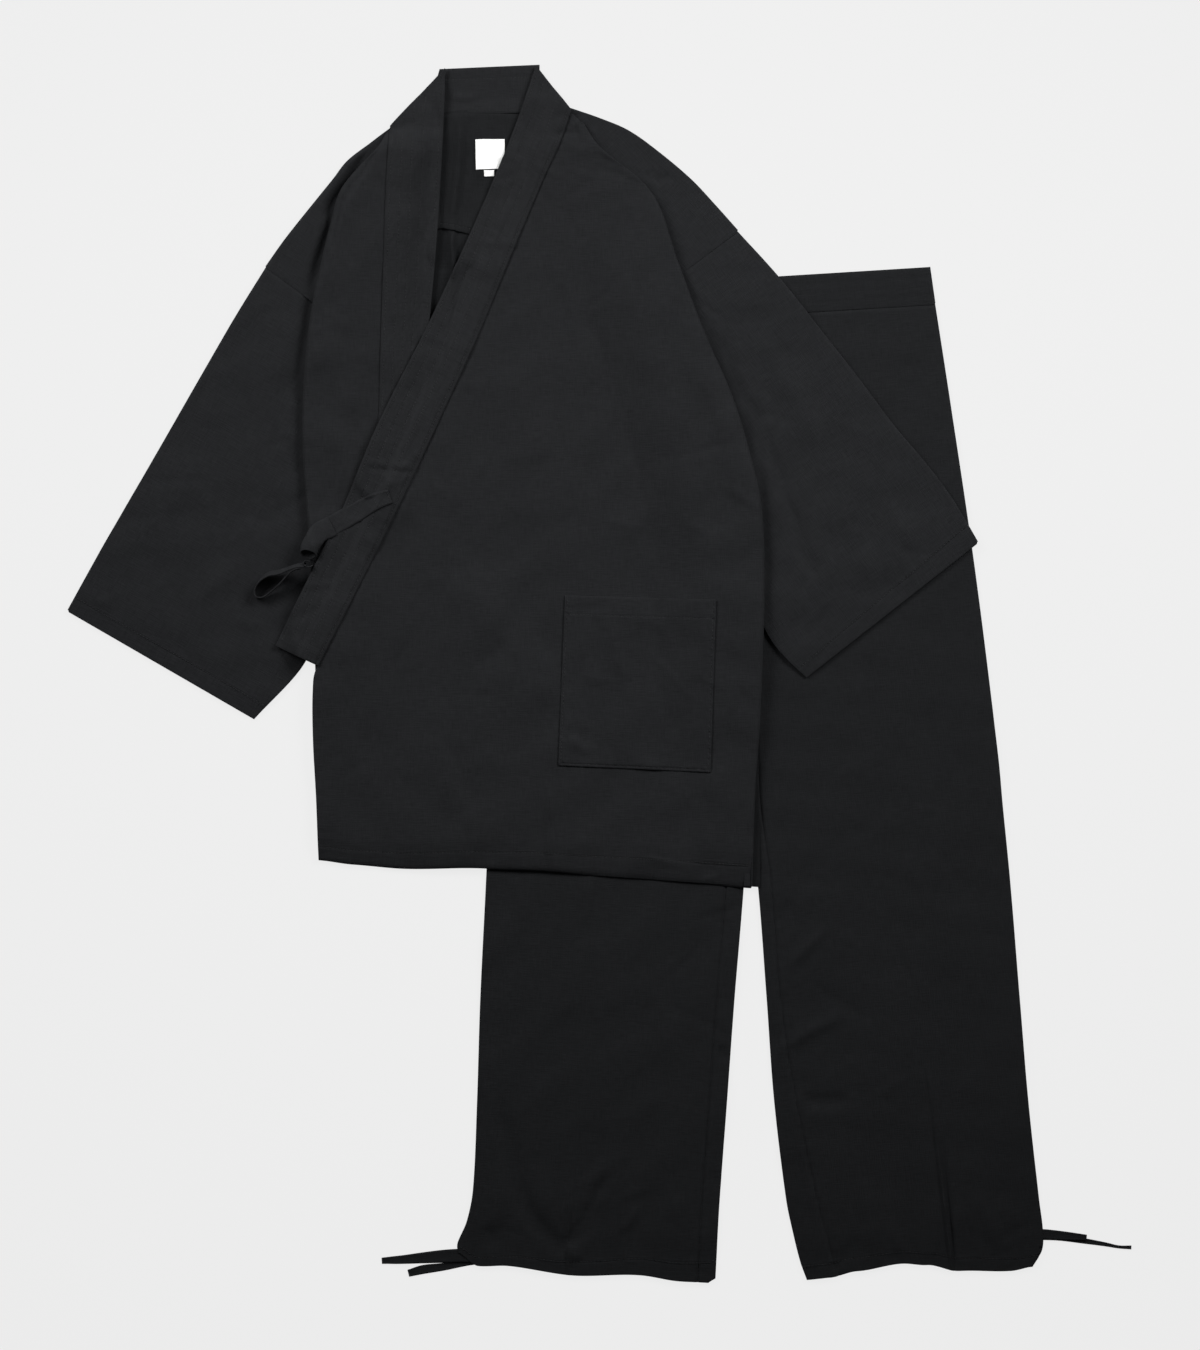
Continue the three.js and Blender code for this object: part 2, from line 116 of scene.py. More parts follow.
SLEEVE_LEFT = [
    (362.4, 126, 198, -3),
    (339, 166, 178, 16),
    (315, 199, 161, 38),
    (284, 236, 143, 82),
    (249, 283, 121, 140),
    (210, 333, 95, 207),
    (171, 382, 66, 284),
    (133, 424, 41.5, 355.6),
]
SHOULDER_RIGHT = [
    (-321, 390, -248, 337),
    (-302, 417, -236, 361),
    (-272, 455, -229, 394),
    (-256, 475, -222, 418),
    (-242, 493, -214, 442),
    (-217, 513, -203, 466),
    (-205, 522, -195, 490),
    (-199.5, 526, -189, 494),
]
SHOULDER_LEFT = [
    (132.5, 424.5, 41, 356),
    (111, 449, 25, 381),
    (87, 475, 9, 410),
    (53, 504, -6, 443),
    (26, 523, -20, 482),
    (0, 534, -29, 506),
    (-20, 541, -38, 520),
    (-29, 544, -46, 524),
]
JACKET_BACK = [
    (-267, -174, 153.5, -204),
    (-268, -63, 152, -82),
    (-268, 6, 147, 33),
    (-263, 50, 137, 78),
    (-257, 110, 115, 138),
    (-253, 187, 89, 205),
    (-249, 264, 60, 282),
    (-242, 336, 36, 354),
    (-224, 395, 4, 404),
    (-209, 443, -12, 440),
    (-190, 491, -30, 491),
    (-169, 523, -50, 521),
    (-161, 536, -67, 537),
]
FRONT_RIGHT = [
    (-268, -175, -51, -185),
    (-271, -63, -53, -111),
    (-273, 6, -67, -44),
    (-276, 72, -106, 14),
    (-279, 130, -154, 66),
    (-282, 170, -190, 124),
    (-285, 215, -209, 190),
    (-285, 264, -208, 243),
    (-281, 317, -206.5, 300),
    (-275, 359, -204.5, 352),
    (-266, 400, -203, 396),
    (-258, 433, -201.5, 430),
    (-250, 462, -200, 458),
    (-233, 485, -198.5, 480),
    (-212, 506, -197, 500),
    (-205, 519, -196, 516),
    (-199, 524, -191, 521),
]
FRONT_LEFT = [
    (146, -205, -270, -178),
    (149, -111, -272, -120),
    (153, -53, -275, -63),
    (155.5, 4, -275, -15),
    (156.5, 33, -272, 5),
    (157.5, 81, -244, 65),
    (156.5, 139, -204, 145),
    (151, 182, -169, 218),
    (128, 263, -121, 323),
    (99, 330, -86, 409),
    (74, 397, -57, 477),
    (50, 461, -42, 508),
    (0, 505, -31, 532),
    (-16, 528, -27, 538),
]
BACK_YOKE = [
    (-168, 426, -102, 408),
    (-166, 482, -77, 482),
    (-162, 534.5, -67, 536),
]
COLLAR_BACK = [
    (-166, 537.2, -58, 539),
    (-154, 581, -58, 585.2),
]
COLLAR_RIGHT = [
    (-215, 187, -167, 196),
    (-212, 240, -165, 316),
    (-211, 276, -162, 355),
    (-209, 340, -157.5, 403),
    (-206.5, 407, -153.5, 465),
    (-204.5, 465, -149.5, 540),
    (-201, 526, -148.6, 581.5),
]
COLLAR_LEFT = [
    (-311, 27.5, -269.8, 8.2),
    (-278.4, 93.6, -240, 66.7),
    (-245.8, 160, -199.7, 147),
    (-212, 240.5, -165, 220),
    (-163, 339, -117, 325),
    (-123, 425.8, -81.6, 411),
    (-91.7, 499, -52.8, 478.6),
    (-75.8, 541, -38.4, 510),
    (-61.4, 584.2, -27.4, 541),
]
POCKET = [
    (-40, -87.4, 106, -94),
    (-33.6, 75.8, 111, 71.5),
]
NECK_LABEL = [
    (-119, 484, -91, 485),
    (-119.5, 513, -91.5, 513.4),
]
LABEL_TAB = [
    (-111, 477.5, -101.5, 477.8),
    (-111.3, 483.4, -101.4, 483.6),
]

# columns: share of the width from the folded edge, the hem's drop below a straight line
LEG_RIGHT_HEM = [
    (0, 0), (0.08, 11), (0.2, 8), (0.43, 11), (0.72, 4.2), (0.85, 6.3), (0.97, 5), (1, 0),
]
LEG_LEFT_HEM = [
    (0, 0), (0.1, 3), (0.33, 0), (0.47, -7.5), (0.58, -10.3), (0.78, -5.6), (0.9, -1), (1, 0),
]
FRONT_LEFT_HEM = [
    (0, 0), (0.13, -1.5), (0.35, -2.5), (0.48, -4), (0.61, -2.5), (0.82, 3), (0.92, 2), (1, 0),
]
YOKE_HEM = [(0, 0), (0.3, -7), (0.6, -8), (1, 0)]

# columns: y, radius of the soft fold there
FRONT_RIGHT_BEND = [
    (-180, 0.7), (-60, 1.7), (60, 2.8), (330, 3.3), (450, 4.0), (500, 3.4), (524, 1.4),
]
FRONT_LEFT_BEND = [
    (-205, 0.7), (-90, 2.0), (60, 3.8), (300, 4.0), (440, 3.2), (500, 2.2), (530, 1.1),
]
SLEEVE_RIGHT_BEND = [(0, 0.9), (250, 1.1), (337, 1.9), (390, 2.5)]
SHOULDER_RIGHT_BEND = [(337, 1.9), (390, 2.5), (445, 3.2), (490, 3.6), (514, 3.0), (526, 1.0)]

# columns: share of the height from the hem, how far a front is folded under itself
FRONT_RIGHT_TURN = [
    (0, 8), (0.22, 10), (0.32, 26), (0.5, 34), (0.72, 34), (0.85, 26), (0.95, 9), (1, 4),
]
FRONT_LEFT_TURN = [
    (0, 8), (0.14, 10), (0.24, 30), (0.5, 38), (0.75, 36), (0.88, 22), (0.96, 10), (1, 5),
]

# columns: middle of the tie x, y, its width
TIE_BAND = [
    (-200.5, 170.3, 13.5), (-215, 165.3, 16), (-235, 154.3, 18.6),
    (-250, 145.8, 19), (-262, 138.4, 18.5), (-270, 134, 16),
]
HEM_TIES = {
    "hem_tie_right_lower": [
        (-118, -563, 6), (-129, -564.6, 6), (-150, -568.5, 7), (-170, -571.2, 8.3),
        (-184, -574.8, 6.4),
    ],
    "hem_tie_right_upper": [
        (-120, -558.4, 12), (-133, -557.6, 12.6), (-150, -558.3, 12.2), (-170, -559.8, 10.2),
        (-190, -561.5, 7.8), (-209.5, -562.8, 5.4),
    ],
    "hem_tie_left_lower": [
        (419, -538.5, 8), (440, -540.3, 5.6), (465, -543.8, 4.6), (485, -547, 3.2),
        (498, -549.5, 2.2), (510, -550, 3),
    ],
    "hem_tie_left_upper": [
        (419, -536.4, 8.6), (430, -537.3, 9), (448, -538.7, 7.4), (467, -540.4, 5),
    ],
}

# ---- small maths ----


def smoothstep(value, low, high):
    part = np.clip((value - low) / (high - low), 0.0, 1.0)
    return part * part * (3.0 - 2.0 * part)


def look_up(table, at):
    """A value from a table of two columns, with soft steps between its rows."""
    keys, values = np.asarray(table, float).T
    above = np.clip(np.searchsorted(keys, at), 1, len(keys) - 1)
    rise = smoothstep(at, keys[above - 1], keys[above])
    return values[above - 1] + (values[above] - values[above - 1]) * rise


def cubic(start, start_slope, end, end_slope, run, part):
    """A place on the smooth curve that leaves one point and reaches the next at given slopes."""
    square, cube = part ** 2, part ** 3
    return (
        start * (2 * cube - 3 * square + 1) + start_slope * run * (cube - 2 * square + part)
        + end * (3 * square - 2 * cube) + end_slope * run * (cube - square)
    )


def fine_curve(places, values, at):
    """A smooth curve through values, by cubic steps."""
    slope = np.gradient(values, places)
    high = np.clip(np.searchsorted(places, at), 1, len(places) - 1)
    low = high - 1
    run = places[high] - places[low]
    return cubic(values[low], slope[low], values[high], slope[high], run, (at - places[low]) / run)


def width_of(rows):
    return np.hypot(rows[:, 2] - rows[:, 0], rows[:, 3] - rows[:, 1])


def places_along(points):
    """Distance of each point from the first, along the points."""
    steps = np.linalg.norm(np.diff(points, axis=0), axis=1)
    return np.concatenate([[0.0], np.cumsum(steps)])


class Edges:
    """Both edges of a piece as curves that run level with each other from its hem upward."""

    def __init__(self, sections):
        self.rows = np.asarray(sections, float)
        steps = np.linalg.norm(np.diff(self.rows, axis=0), axis=1)
        self.places = np.concatenate([[0.0], np.cumsum(steps) / steps.sum()])
        self.length = np.hypot(*(self.rows[-1, :2] - self.rows[0, :2]))

    def slope(self, i):
        before = np.maximum(i - 1, 0)
        after = np.minimum(i + 1, len(self.rows) - 1)
        run = (self.places[after] - self.places[before])[:, None]
        return (self.rows[after] - self.rows[before]) / run

    def __call__(self, along):
        along = np.atleast_1d(np.asarray(along, float))
        high = np.clip(np.searchsorted(self.places, along - 1e-9), 1, len(self.places) - 1)
        low = high - 1
        run = (self.places[high] - self.places[low])[:, None]
        part = (along - self.places[low])[:, None] / run
        return cubic(
            self.rows[low], self.slope(low), self.rows[high], self.slope(high), run, part
        )


class Spots:
    """Places in plan, which remember the heights already worked out for them."""

    def __init__(self, x, y):
        self.x = x
        self.y = y
        self.known = {}

    def once(self, key, work):
        if key not in self.known:
            self.known[key] = work(self)
        return self.known[key]


def distance_to(outline, spots):
    """Distance in plan from spots to an outline, 0 inside it and endless far away from it."""
    low = outline.min(axis=0) - MARGIN - REACH
    high = outline.max(axis=0) + MARGIN + REACH
    near = (spots.x > low[0]) & (spots.x < high[0]) & (spots.y > low[1]) & (spots.y < high[1])
    x, y = spots.x[near], spots.y[near]
    inside = np.zeros(x.shape, bool)
    nearest = np.full(x.shape, np.inf)
    for (ax, ay), (bx, by) in zip(outline, np.roll(outline, -1, axis=0)):
        if ay != by:
            crosses = (ay > y) != (by > y)
            inside ^= crosses & (x < (bx - ax) * (y - ay) / (by - ay) + ax)
        square = max((bx - ax) ** 2 + (by - ay) ** 2, 1e-9)
        share = np.clip(((x - ax) * (bx - ax) + (y - ay) * (by - ay)) / square, 0, 1)
        away = np.hypot(ax + (bx - ax) * share - x, ay + (by - ay) * share - y)
        nearest = np.minimum(nearest, away)
    result = np.full(spots.x.shape, np.inf)
    result[near] = np.where(inside, 0.0, nearest)
    return result


def soft_max(a, b):
    soft = np.maximum(np.minimum(np.minimum(a, b), SOFT_MAX), 0.0)
    overlap = np.maximum(soft - np.abs(a - b), 0.0)
    return np.maximum(a, b) + overlap ** 2 / (4 * np.maximum(soft, 1e-6))


def rest_on(supports, spots, reach, gap):
    """The height at which a piece rests on its supports, or 0 on the bare surface."""
    height = np.zeros(spots.x.shape)
    for support in supports:
        share = 1 - smoothstep(support.away(spots), MARGIN, MARGIN + reach)
        if share.any():
            height = soft_max(height, (support.top(spots) + gap) * share)
    return height


def spread(length, pitch, fine=()):
    """Places from 0 to 1 along a length, set closer near each (place, reach, pitch) of fine."""
    at = np.linspace(0, length, SAMPLES)
    density = np.full(at.shape, 1 / pitch)
    for place, reach, close in fine:
        density += np.exp(-((at - place) / reach) ** 4) / close
    total = np.concatenate([[0], np.cumsum((density[1:] + density[:-1]) / 2 * np.diff(at))])
    steps = max(int(math.ceil(total[-1])), 1)
    return np.interp(np.linspace(0, total[-1], steps + 1), total, at) / length


# ---- the lie of the cloth ----


def ripple(seed, low, high, count=14):
    """A gentle unevenness from 0 to about 1, made of waves between two lengths."""
    source = random.Random(seed)
    waves = []
    for _ in range(count):
        length = source.uniform(low, high)
        turn = source.uniform(0, math.pi)
        waves.append((math.cos(turn) / length, math.sin(turn) / length, source.uniform(0, 1)))

    def height(x, y):
        total = sum(np.sin(2 * math.pi * (a * x + b * y + c)) for a, b, c in waves)
        return 0.5 + 0.5 * np.tanh(total / math.sqrt(count / 2) / 1.2)

    return height


def crease(x, y, x1, y1, x2, y2, width, height):
    """A soft ridge, or a trough where height is negative, that fades out at both ends."""
    run = math.hypot(x2 - x1, y2 - y1)
    along = ((x - x1) * (x2 - x1) + (y - y1) * (y2 - y1)) / run ** 2
    off = ((x - x1) * (y2 - y1) - (y - y1) * (x2 - x1)) / run
    off = off + width * 0.25 * np.sin(along * 4.0 + x1)
    ends = smoothstep(along, -0.15, 0.3) * (1 - smoothstep(along, 0.7, 1.15))
    return height * ends * np.exp(-(off / width) ** 2)


def wrinkles(seed, sections, count, tallest=0.3):
    """Small uneven creases scattered over a piece, as rows for its table."""
    source = random.Random(seed)
    rows = np.asarray(sections, float)
    scattered = []
    for _ in range(count):
        at = source.uniform(0, len(rows) - 1.001)
        row = rows[int(at)] + (rows[int(at) + 1] - rows[int(at)]) * (at % 1)
        share = source.uniform(0.06, 0.94)
        x = row[0] + (row[2] - row[0]) * share
        y = row[1] + (row[3] - row[1]) * share
        turn = source.uniform(0, math.pi)
        half = source.uniform(8, 34)
        run, climb = half * math.cos(turn), half * math.sin(turn)
        height = source.choice((-1, 1)) * source.uniform(0.3, 1.0) * tallest
        scattered.append((x - run, y - climb, x + run, y + climb, source.uniform(2.2, 6.5), height))
    return scattered


class Support:
    """A stretch of cloth that carries others: its outline in plan and its upper surface."""

    def __init__(self, outline, height):
        self.outline = outline
        self.height = height

    def away(self, spots):
        return spots.once((self, "away"), lambda spots: distance_to(self.outline, spots))

    def top(self, spots):
        return spots.once((self, "top"), self.height)


class Piece(Support):
    """A piece of cloth laid between its two edges, single or folded over along the first one."""

    def __init__(self, sections, on=(), thick=CLOTH, folded=False, turn=None, hem=None,
                 reach=REACH, gap=GAP, bend=FLAT_BEND, waves=0.0, seed=1, creases=()):
        self.edges = Edges(sections)
        self.on = on
        self.thick = thick
        self.folded = folded
        self.turn = turn
        self.hem = hem
        self.reach = reach
        self.gap = gap
        self.bend = bend
        self.waves = waves
        self.ripple = ripple(seed, *WAVE_LENGTHS)
        self.creases = creases
        super().__init__(
            self.band(lambda at, width: np.ones(at.shape)),
            lambda spots: self.lie(spots) + thick,
        )
        self.under = Support(
            self.band(self.turn_share),
            lambda spots: self.base(spots) + 2 * self.bend_at(spots.y) - gap,
        )

    def bend_at(self, y):
        return look_up(self.bend, y) if isinstance(self.bend, list) else self.bend

    def band(self, share_at):
        at = np.linspace(0, 1, OUTLINE_STEPS)
        rows = self.edges(at)
        share = share_at(at, width_of(rows))[:, None]
        inner = rows[:, :2] + (rows[:, 2:] - rows[:, :2]) * share
        return np.concatenate([rows[:, :2], inner[::-1]])

    def turn_share(self, at, width):
        if self.turn is None:
            return np.ones(at.shape)
        return np.minimum(look_up(self.turn, at) / width, 0.92)

    def base(self, spots):
        """Underside of the whole piece."""
        return spots.once(
            (self, "base"), lambda spots: rest_on(self.on, spots, self.reach, self.gap)
        )

    def underside(self, spots):
        """Underside of the wall that shows, which a fold carries."""
        if not self.folded:
            return self.base(spots)
        if self.turn is None:
            return self.base(spots) + 2 * self.bend_at(spots.y)
        return rest_on([*self.on, self.under], spots, self.reach, self.gap)

    def relief(self, x, y):
        height = self.waves * self.ripple(x, y)
        for row in self.creases:
            height = height + CREASE_GAIN * crease(x, y, *row)
        return height

    def lie(self, spots):
        """Underside of the wall with its unevenness, kept off what lies beneath it."""
        return np.maximum(self.underside(spots) + self.relief(spots.x, spots.y), self.lowest(spots))

    def lowest(self, spots):
        return self.base(spots) + (self.thick if self.folded else 0.0)

    def place(self, rows, share, above):
        drop = 0.0
        if self.hem is not None:
            drop = look_up(self.hem, share) * np.clip(1 - above / HEM_FADE, 0, 1)
        x = rows[:, 0] + (rows[:, 2] - rows[:, 0]) * share.T
        y = rows[:, 1] + (rows[:, 3] - rows[:, 1]) * share.T
        return x.T, y.T - drop

    def grid(self, up, across, under_columns=3):
        """Middle surface of the wall as arrays of rows by columns, and where each point is."""
        rows = self.edges(up)
        above = (up * self.edges.length)[:, None]
        width = width_of(rows)[:, None]
        bend = self.bend_at(rows[:, [1]])
        outside = bend + self.thick / 2
        bent = outside / width if self.folded else np.zeros(width.shape)
        parts = []
        if self.folded:
            last = self.turn_share(up, width[:, 0])[:, None]
            angles = math.pi * (np.arange(ARC_STEPS) / ARC_STEPS - 0.5)
            parts.append(last + (bent - last) * np.arange(under_columns) / under_columns)
            parts.append((outside - bend * np.cos(angles)) / width)
        first = sum(part.shape[1] for part in parts)
        parts.append(bent + (1 - bent) * across)
        share = np.concatenate(parts, axis=1)
        x, y = self.place(rows, share, above)
        if self.folded:
            y[:, :first] += UNDER_SHORT * np.clip(1 - above / HEM_FADE, 0, 1)
        spots = Spots(x, y)
        z = self.lie(spots)
        if self.folded:
            calm = 1 - smoothstep(np.minimum(above, self.edges.length - above), 3, WAVE_FADE)
            z = z - self.waves * self.ripple(x, y) * calm
        z = np.maximum(z, self.lowest(spots)) + self.thick / 2
        z -= TUCK_DROP * smoothstep(above, self.edges.length - 0.1, self.edges.length + 1.4)
        z = np.maximum(z, self.thick / 2)
        if self.folded:
            low = self.base(spots) + self.thick / 2
            arc = slice(under_columns, first)
            z[:, :under_columns] = low[:, :under_columns]
            middle = low[:, [first]]
            z[:, arc] = middle + (z[:, [first]] - middle) * (1 + np.sin(angles)) / 2
            if self.turn is None:
                z[:, first:] -= SEAM_PINCH * smoothstep(
                    (share * width)[:, first:], width - SEAM_PINCH_WIDTH, width
                )
        return x, y, z, share, first, width, above


# ---- finishes ----


class Signal:
    """A shader socket that takes part in sums, so that a pattern reads as an expression."""

    def __init__(self, finish, socket):
        self.finish = finish
        self.socket = socket

    def sum(self, operation, *values):
        return self.finish.node("ShaderNodeMath", {"operation": operation}, *values)

    def __add__(self, other):
        return self.sum("ADD", self, other)

    def __radd__(self, other):
        return self.sum("ADD", other, self)

    def __sub__(self, other):
        return self.sum("SUBTRACT", self, other)

    def __rsub__(self, other):
        return self.sum("SUBTRACT", other, self)

    def __mul__(self, other):
        return self.sum("MULTIPLY", self, other)

    def __rmul__(self, other):
        return self.sum("MULTIPLY", other, self)


class Finish:
    """A material built from nodes."""

    def __init__(self, name):
        self.material = bpy.data.materials.new(name)
        self.material.use_nodes = True
        self.tree = self.material.node_tree
        self.shader = self.tree.nodes["Principled BSDF"]
        self.output = self.tree.nodes["Material Output"]

    def node(self, kind, settings, *values, output=0, **named):
        node = self.tree.nodes.new(kind)
        for key, value in settings.items():
            setattr(node, key, value)
        for key, value in [*enumerate(values), *named.items()]:
            self.feed(node.inputs[key], value)
        return Signal(self, node.outputs[output])

    def feed(self, socket, value):
        if isinstance(value, Signal):
            self.tree.links.new(value.socket, socket)
        else:
            socket.default_value = value

    def set(self, **values):
        for key, value in values.items():
            self.feed(self.shader.inputs[key.replace("_", " ")], value)
        return self.material


WARP_PITCH = 0.85      # spacing of the uneven threads along a piece, mm
WEFT_PITCH = 0.95      # and of those across it
SLUB_LENGTH = 11       # length of a thick place in a thread
MOTTLE = 55            # size of the faint cloudiness
WEAVE = 0.20           # how much the fine threads differ in shade
SLUB = 0.05            # and the thick places
CLOUD = 0.03           # and the cloudiness


def cloth_finish(name, colour):
    """Plain-woven slub cotton: uneven crossed threads in colour and in relief."""
    finish = Finish(name)
    uv = finish.node("ShaderNodeUVMap", {"uv_map": "cloth"})

    def threads(across, along, detail):
        scale = (1 / (across * MM), 1 / (along * MM), 0)
        stretched = finish.node("ShaderNodeVectorMath", {"operation": "MULTIPLY"}, uv, scale)
        return finish.node(
            "ShaderNodeTexNoise", {"noise_dimensions": "2D"},
            Vector=stretched, Scale=1.0, Detail=detail, Roughness=0.6,
        )

    warp = threads(WARP_PITCH, SLUB_LENGTH, 1.0)
    weft = threads(SLUB_LENGTH, WEFT_PITCH, 1.0)
    heavy_warp = threads(2.2, 24, 0.0)
    heavy_weft = threads(24, 2.4, 0.0)
    mottle = threads(MOTTLE, MOTTLE, 2.0)
    fine = warp + weft - 1.0
    heavy = heavy_warp + heavy_weft - 1.0
    shade = 1.0 + fine * WEAVE * 2 + heavy * SLUB * 2 + (mottle - 0.5) * CLOUD * 2
    tint = finish.node("ShaderNodeVectorMath", {"operation": "SCALE"}, colour, Scale=shade)
    relief = fine + heavy * 0.3
    bump = finish.node("ShaderNodeBump", {}, Strength=0.5, Distance=0.00035, Height=relief)
    return finish.set(Base_Color=tint, Normal=bump, Roughness=0.88, Specular_IOR_Level=0.06)


def plain_finish(name, colour):
    """Thread and tape: one even colour with a faint grain."""
    finish = Finish(name)
    place = finish.node("ShaderNodeTexCoord", {}, output=3)
    grain = finish.node("ShaderNodeTexNoise", {}, Vector=place, Scale=900.0, Detail=1.0)
    shade = 0.9 + grain * 0.2
    tint = finish.node("ShaderNodeVectorMath", {"operation": "SCALE"}, colour, Scale=shade)
    return finish.set(Base_Color=tint, Roughness=0.9, Specular_IOR_Level=0.2)


JACKET = cloth_finish("jacket_cotton", (0.0113, 0.0117, 0.0127))
COLLAR = cloth_finish("collar_cotton", (0.0119, 0.0123, 0.0133))
# Painted shade: the trousers' cotton is darker than the jacket's, standing in for the light falling
# off toward the hems.
SHADED_TROUSERS = cloth_finish("trouser_cotton_painted_shade", (0.0092, 0.0096, 0.0104))
# Painted shade: the yoke's cotton is darker than the jacket's, for the shade the collars cast on
# it.
SHADED_YOKE = cloth_finish("yoke_cotton_painted_shade", (0.0085, 0.0089, 0.0096))
# Painted shade: the back's cotton is darker still, for the shade on it inside the neck opening and
# along the vent beside the fronts.
SHADED_BACK = cloth_finish("back_cotton_painted_shade", (0.0078, 0.0082, 0.0089))
THREAD = plain_finish("black_thread", (0.0136, 0.0140, 0.0150))
LABEL = plain_finish("label_tape", (0.78, 0.78, 0.77))

# ---- making the meshes ----

BEVEL_WIDTH = 0.28


def add_object(name, bm, material):
    mesh = bpy.data.meshes.new(name)
    bm.to_mesh(mesh)
    bm.free()
    thing = bpy.data.objects.new(name, mesh)
    bpy.context.scene.collection.objects.link(thing)
    thing.data.materials.append(material)
    return thing


def cloth_mesh(name, x, y, z, material, thick, grain=0.0):
    """A wall of cloth about a grid of points, with rounded rims."""
    rows, columns = x.shape
    bm = bmesh.new()
    bmesh.ops.create_grid(bm, x_segments=columns - 1, y_segments=rows - 1, size=1.0)
    uv = bm.loops.layers.uv.new("cloth")
    turn = math.radians(grain)
    for vert in bm.verts:
        j = round((vert.co.x + 1) / 2 * (columns - 1))
        i = round((vert.co.y + 1) / 2 * (rows - 1))
        vert.co = (
            (x[i, j] - CENTRE[0]) * MM, (y[i, j] - CENTRE[1]) * MM, z[i, j] * MM,
        )
    for face in bm.faces:
        face.smooth = True
        for loop in face.loops:
            px, py = loop.vert.co.x, loop.vert.co.y
            loop[uv].uv = (
                px * math.cos(turn) + py * math.sin(turn),
                py * math.cos(turn) - px * math.sin(turn),
            )
    thing = add_object(name, bm, material)
    wall = thing.modifiers.new("wall", "SOLIDIFY")
    wall.thickness = thick * MM
    wall.offset = 0
    wall.use_quality_normals = True
    rim = thing.modifiers.new("rim", "BEVEL")
    rim.width = BEVEL_WIDTH * MM
    rim.segments = 2
    rim.limit_method = "ANGLE"
    rim.angle_limit = math.radians(50)
    return thing


def cut_of(x, y, z):
    """Width, length and area in metres of the flat cut of a laid piece, from its surface."""
    points = np.stack([x, y, z], axis=-1) * MM
    across = np.linalg.norm(np.diff(points, axis=1), axis=2)
    along = np.linalg.norm(np.diff(points, axis=0), axis=2)
    one = points[1:, 1:] - points[:-1, :-1]
    other = points[1:, :-1] - points[:-1, 1:]
    area = np.linalg.norm(np.cross(one, other), axis=2).sum() / 2
    return across.sum(axis=1).max(), along.sum(axis=0).max(), area


def attach(thing, solid=None):
    """Fix a finished piece to the one body, in place of the solid that it stands for."""
    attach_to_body(thing, "root")
    if solid:
        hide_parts(solid)


def cloth(name, piece, material, up, across, detail=None, grain=0.0,
          under_columns=3, sheet=True):
    """One piece of cloth of the garment, standing for the solid of the same name."""
    x, y, z, share, first, width, above = piece.grid(up, across, under_columns)
    if detail is not None:
        extra = np.broadcast_to(detail(x, y, share, width, above), z.shape)
        z[:, first:] += extra[:, first:]
    thing = cloth_mesh(name + "_cloth", x, y, z, material, piece.thick * CLOTH_SHARE, grain)
    attach(thing, name)
    if sheet:
        wide, long, area = cut_of(x, y, z)
    return thing


# ---- sewing ----

STITCH = 2.4
STITCH_PITCH = 3.3
STITCH_IN = 1.2       # how far a hem's stitches lie inside its folded depth
THREAD_RADIUS = 0.24
sewing = {"jacket": bmesh.new(), "trousers": bmesh.new()}


def surface_point(piece, up, share, detail=None):
    """A point on the upper face of a piece, in millimetres."""
    up, share = (np.array(v) for v in np.broadcast_arrays(*map(np.atleast_1d, (up, share))))
    rows = piece.edges(up)
    above = up * piece.edges.length
    width = width_of(rows)
    x, y = piece.place(rows, share, above)
    z = piece.top(Spots(x, y))
    if detail is not None:
        z = z + detail(x, y, share, width, above)
    return np.stack([x, y, z], axis=1)


def stitch(where, points):
    """A row of stitches along points on the cloth, each a short thread lying in the surface."""
    places = places_along(points)
    for start in np.arange(0.6, places[-1] - STITCH, STITCH_PITCH):
        a, b = (
            np.array([np.interp(at, places, points[:, i]) for i in range(3)])
            for at in (start, start + STITCH)
        )
        middle = Vector((a + b) / 2 - np.array([*CENTRE, 0])) * MM
        heading = Vector(b - a).normalized()
        turn = heading.to_track_quat("Z", "Y").to_matrix().to_4x4()
        bmesh.ops.create_cone(
            sewing[where], cap_ends=True, segments=5, radius1=THREAD_RADIUS * MM,
            radius2=THREAD_RADIUS * MM, depth=STITCH * MM, matrix=Matrix.Translation(middle) @ turn,
        )


def stitch_on(where, piece, up, share, detail=None):
    stitch(where, surface_point(piece, up, share, detail))


def groove(off, width, depth):
    return -depth * np.exp(-(off / width) ** 2)


def pucker(along, off, seed, size=0.16, pitch=8.0, reach=5.0):
    """Small waves beside a line of sewing."""
    phase = along / pitch * 2 * math.pi + 1.7 * np.sin(along / 31.0 + seed)
    return size * (np.sin(phase) + 1) * np.exp(-(off / reach) ** 2)


HEM = 17.0            # depth of a turned hem
HEM_RISE = 0.30       # how much thicker the cloth is there


def hem_detail(off, along, seed, depth=HEM, rise=HEM_RISE):
    """A turned hem: thicker up to its line of stitches, which draws the cloth in."""
    return (
        rise * (1 - smoothstep(off, depth - 0.4, depth + 1.2))
        + groove(off - (depth - STITCH_IN), 1.0, 0.4)
        + pucker(along, off - depth, seed)
    )


# ---- trousers, from the surface upward ----

LEG_HEM = 15.0


def leg_detail(inseam, seed):
    """Hem and inner seam of a leg; inseam gives the seam's distance from the sewn edge."""
    def detail(x, y, share, width, above):
        off = (1 - share) * width - inseam(above)
        felled = 0.22 * (1 - smoothstep(np.abs(off + 4.5), 3.0, 5.5))
        return (
            hem_detail(above, share * width, seed, LEG_HEM)
            + groove(off, 1.2, 1.3) + felled + pucker(above, off, seed, 0.16, 11.0, 6.0)
        )
    return detail


def upward(piece, pitch, fine=(), tuck=0.0):
    """Shares up a piece; a tuck runs on past its last row, under what it is sewn to."""
    rows = spread(piece.edges.length, pitch, fine)
    if tuck:
        rows = np.concatenate([rows, 1 + np.array([0.25, 0.6, 1.0]) * tuck / piece.edges.length])
    return rows


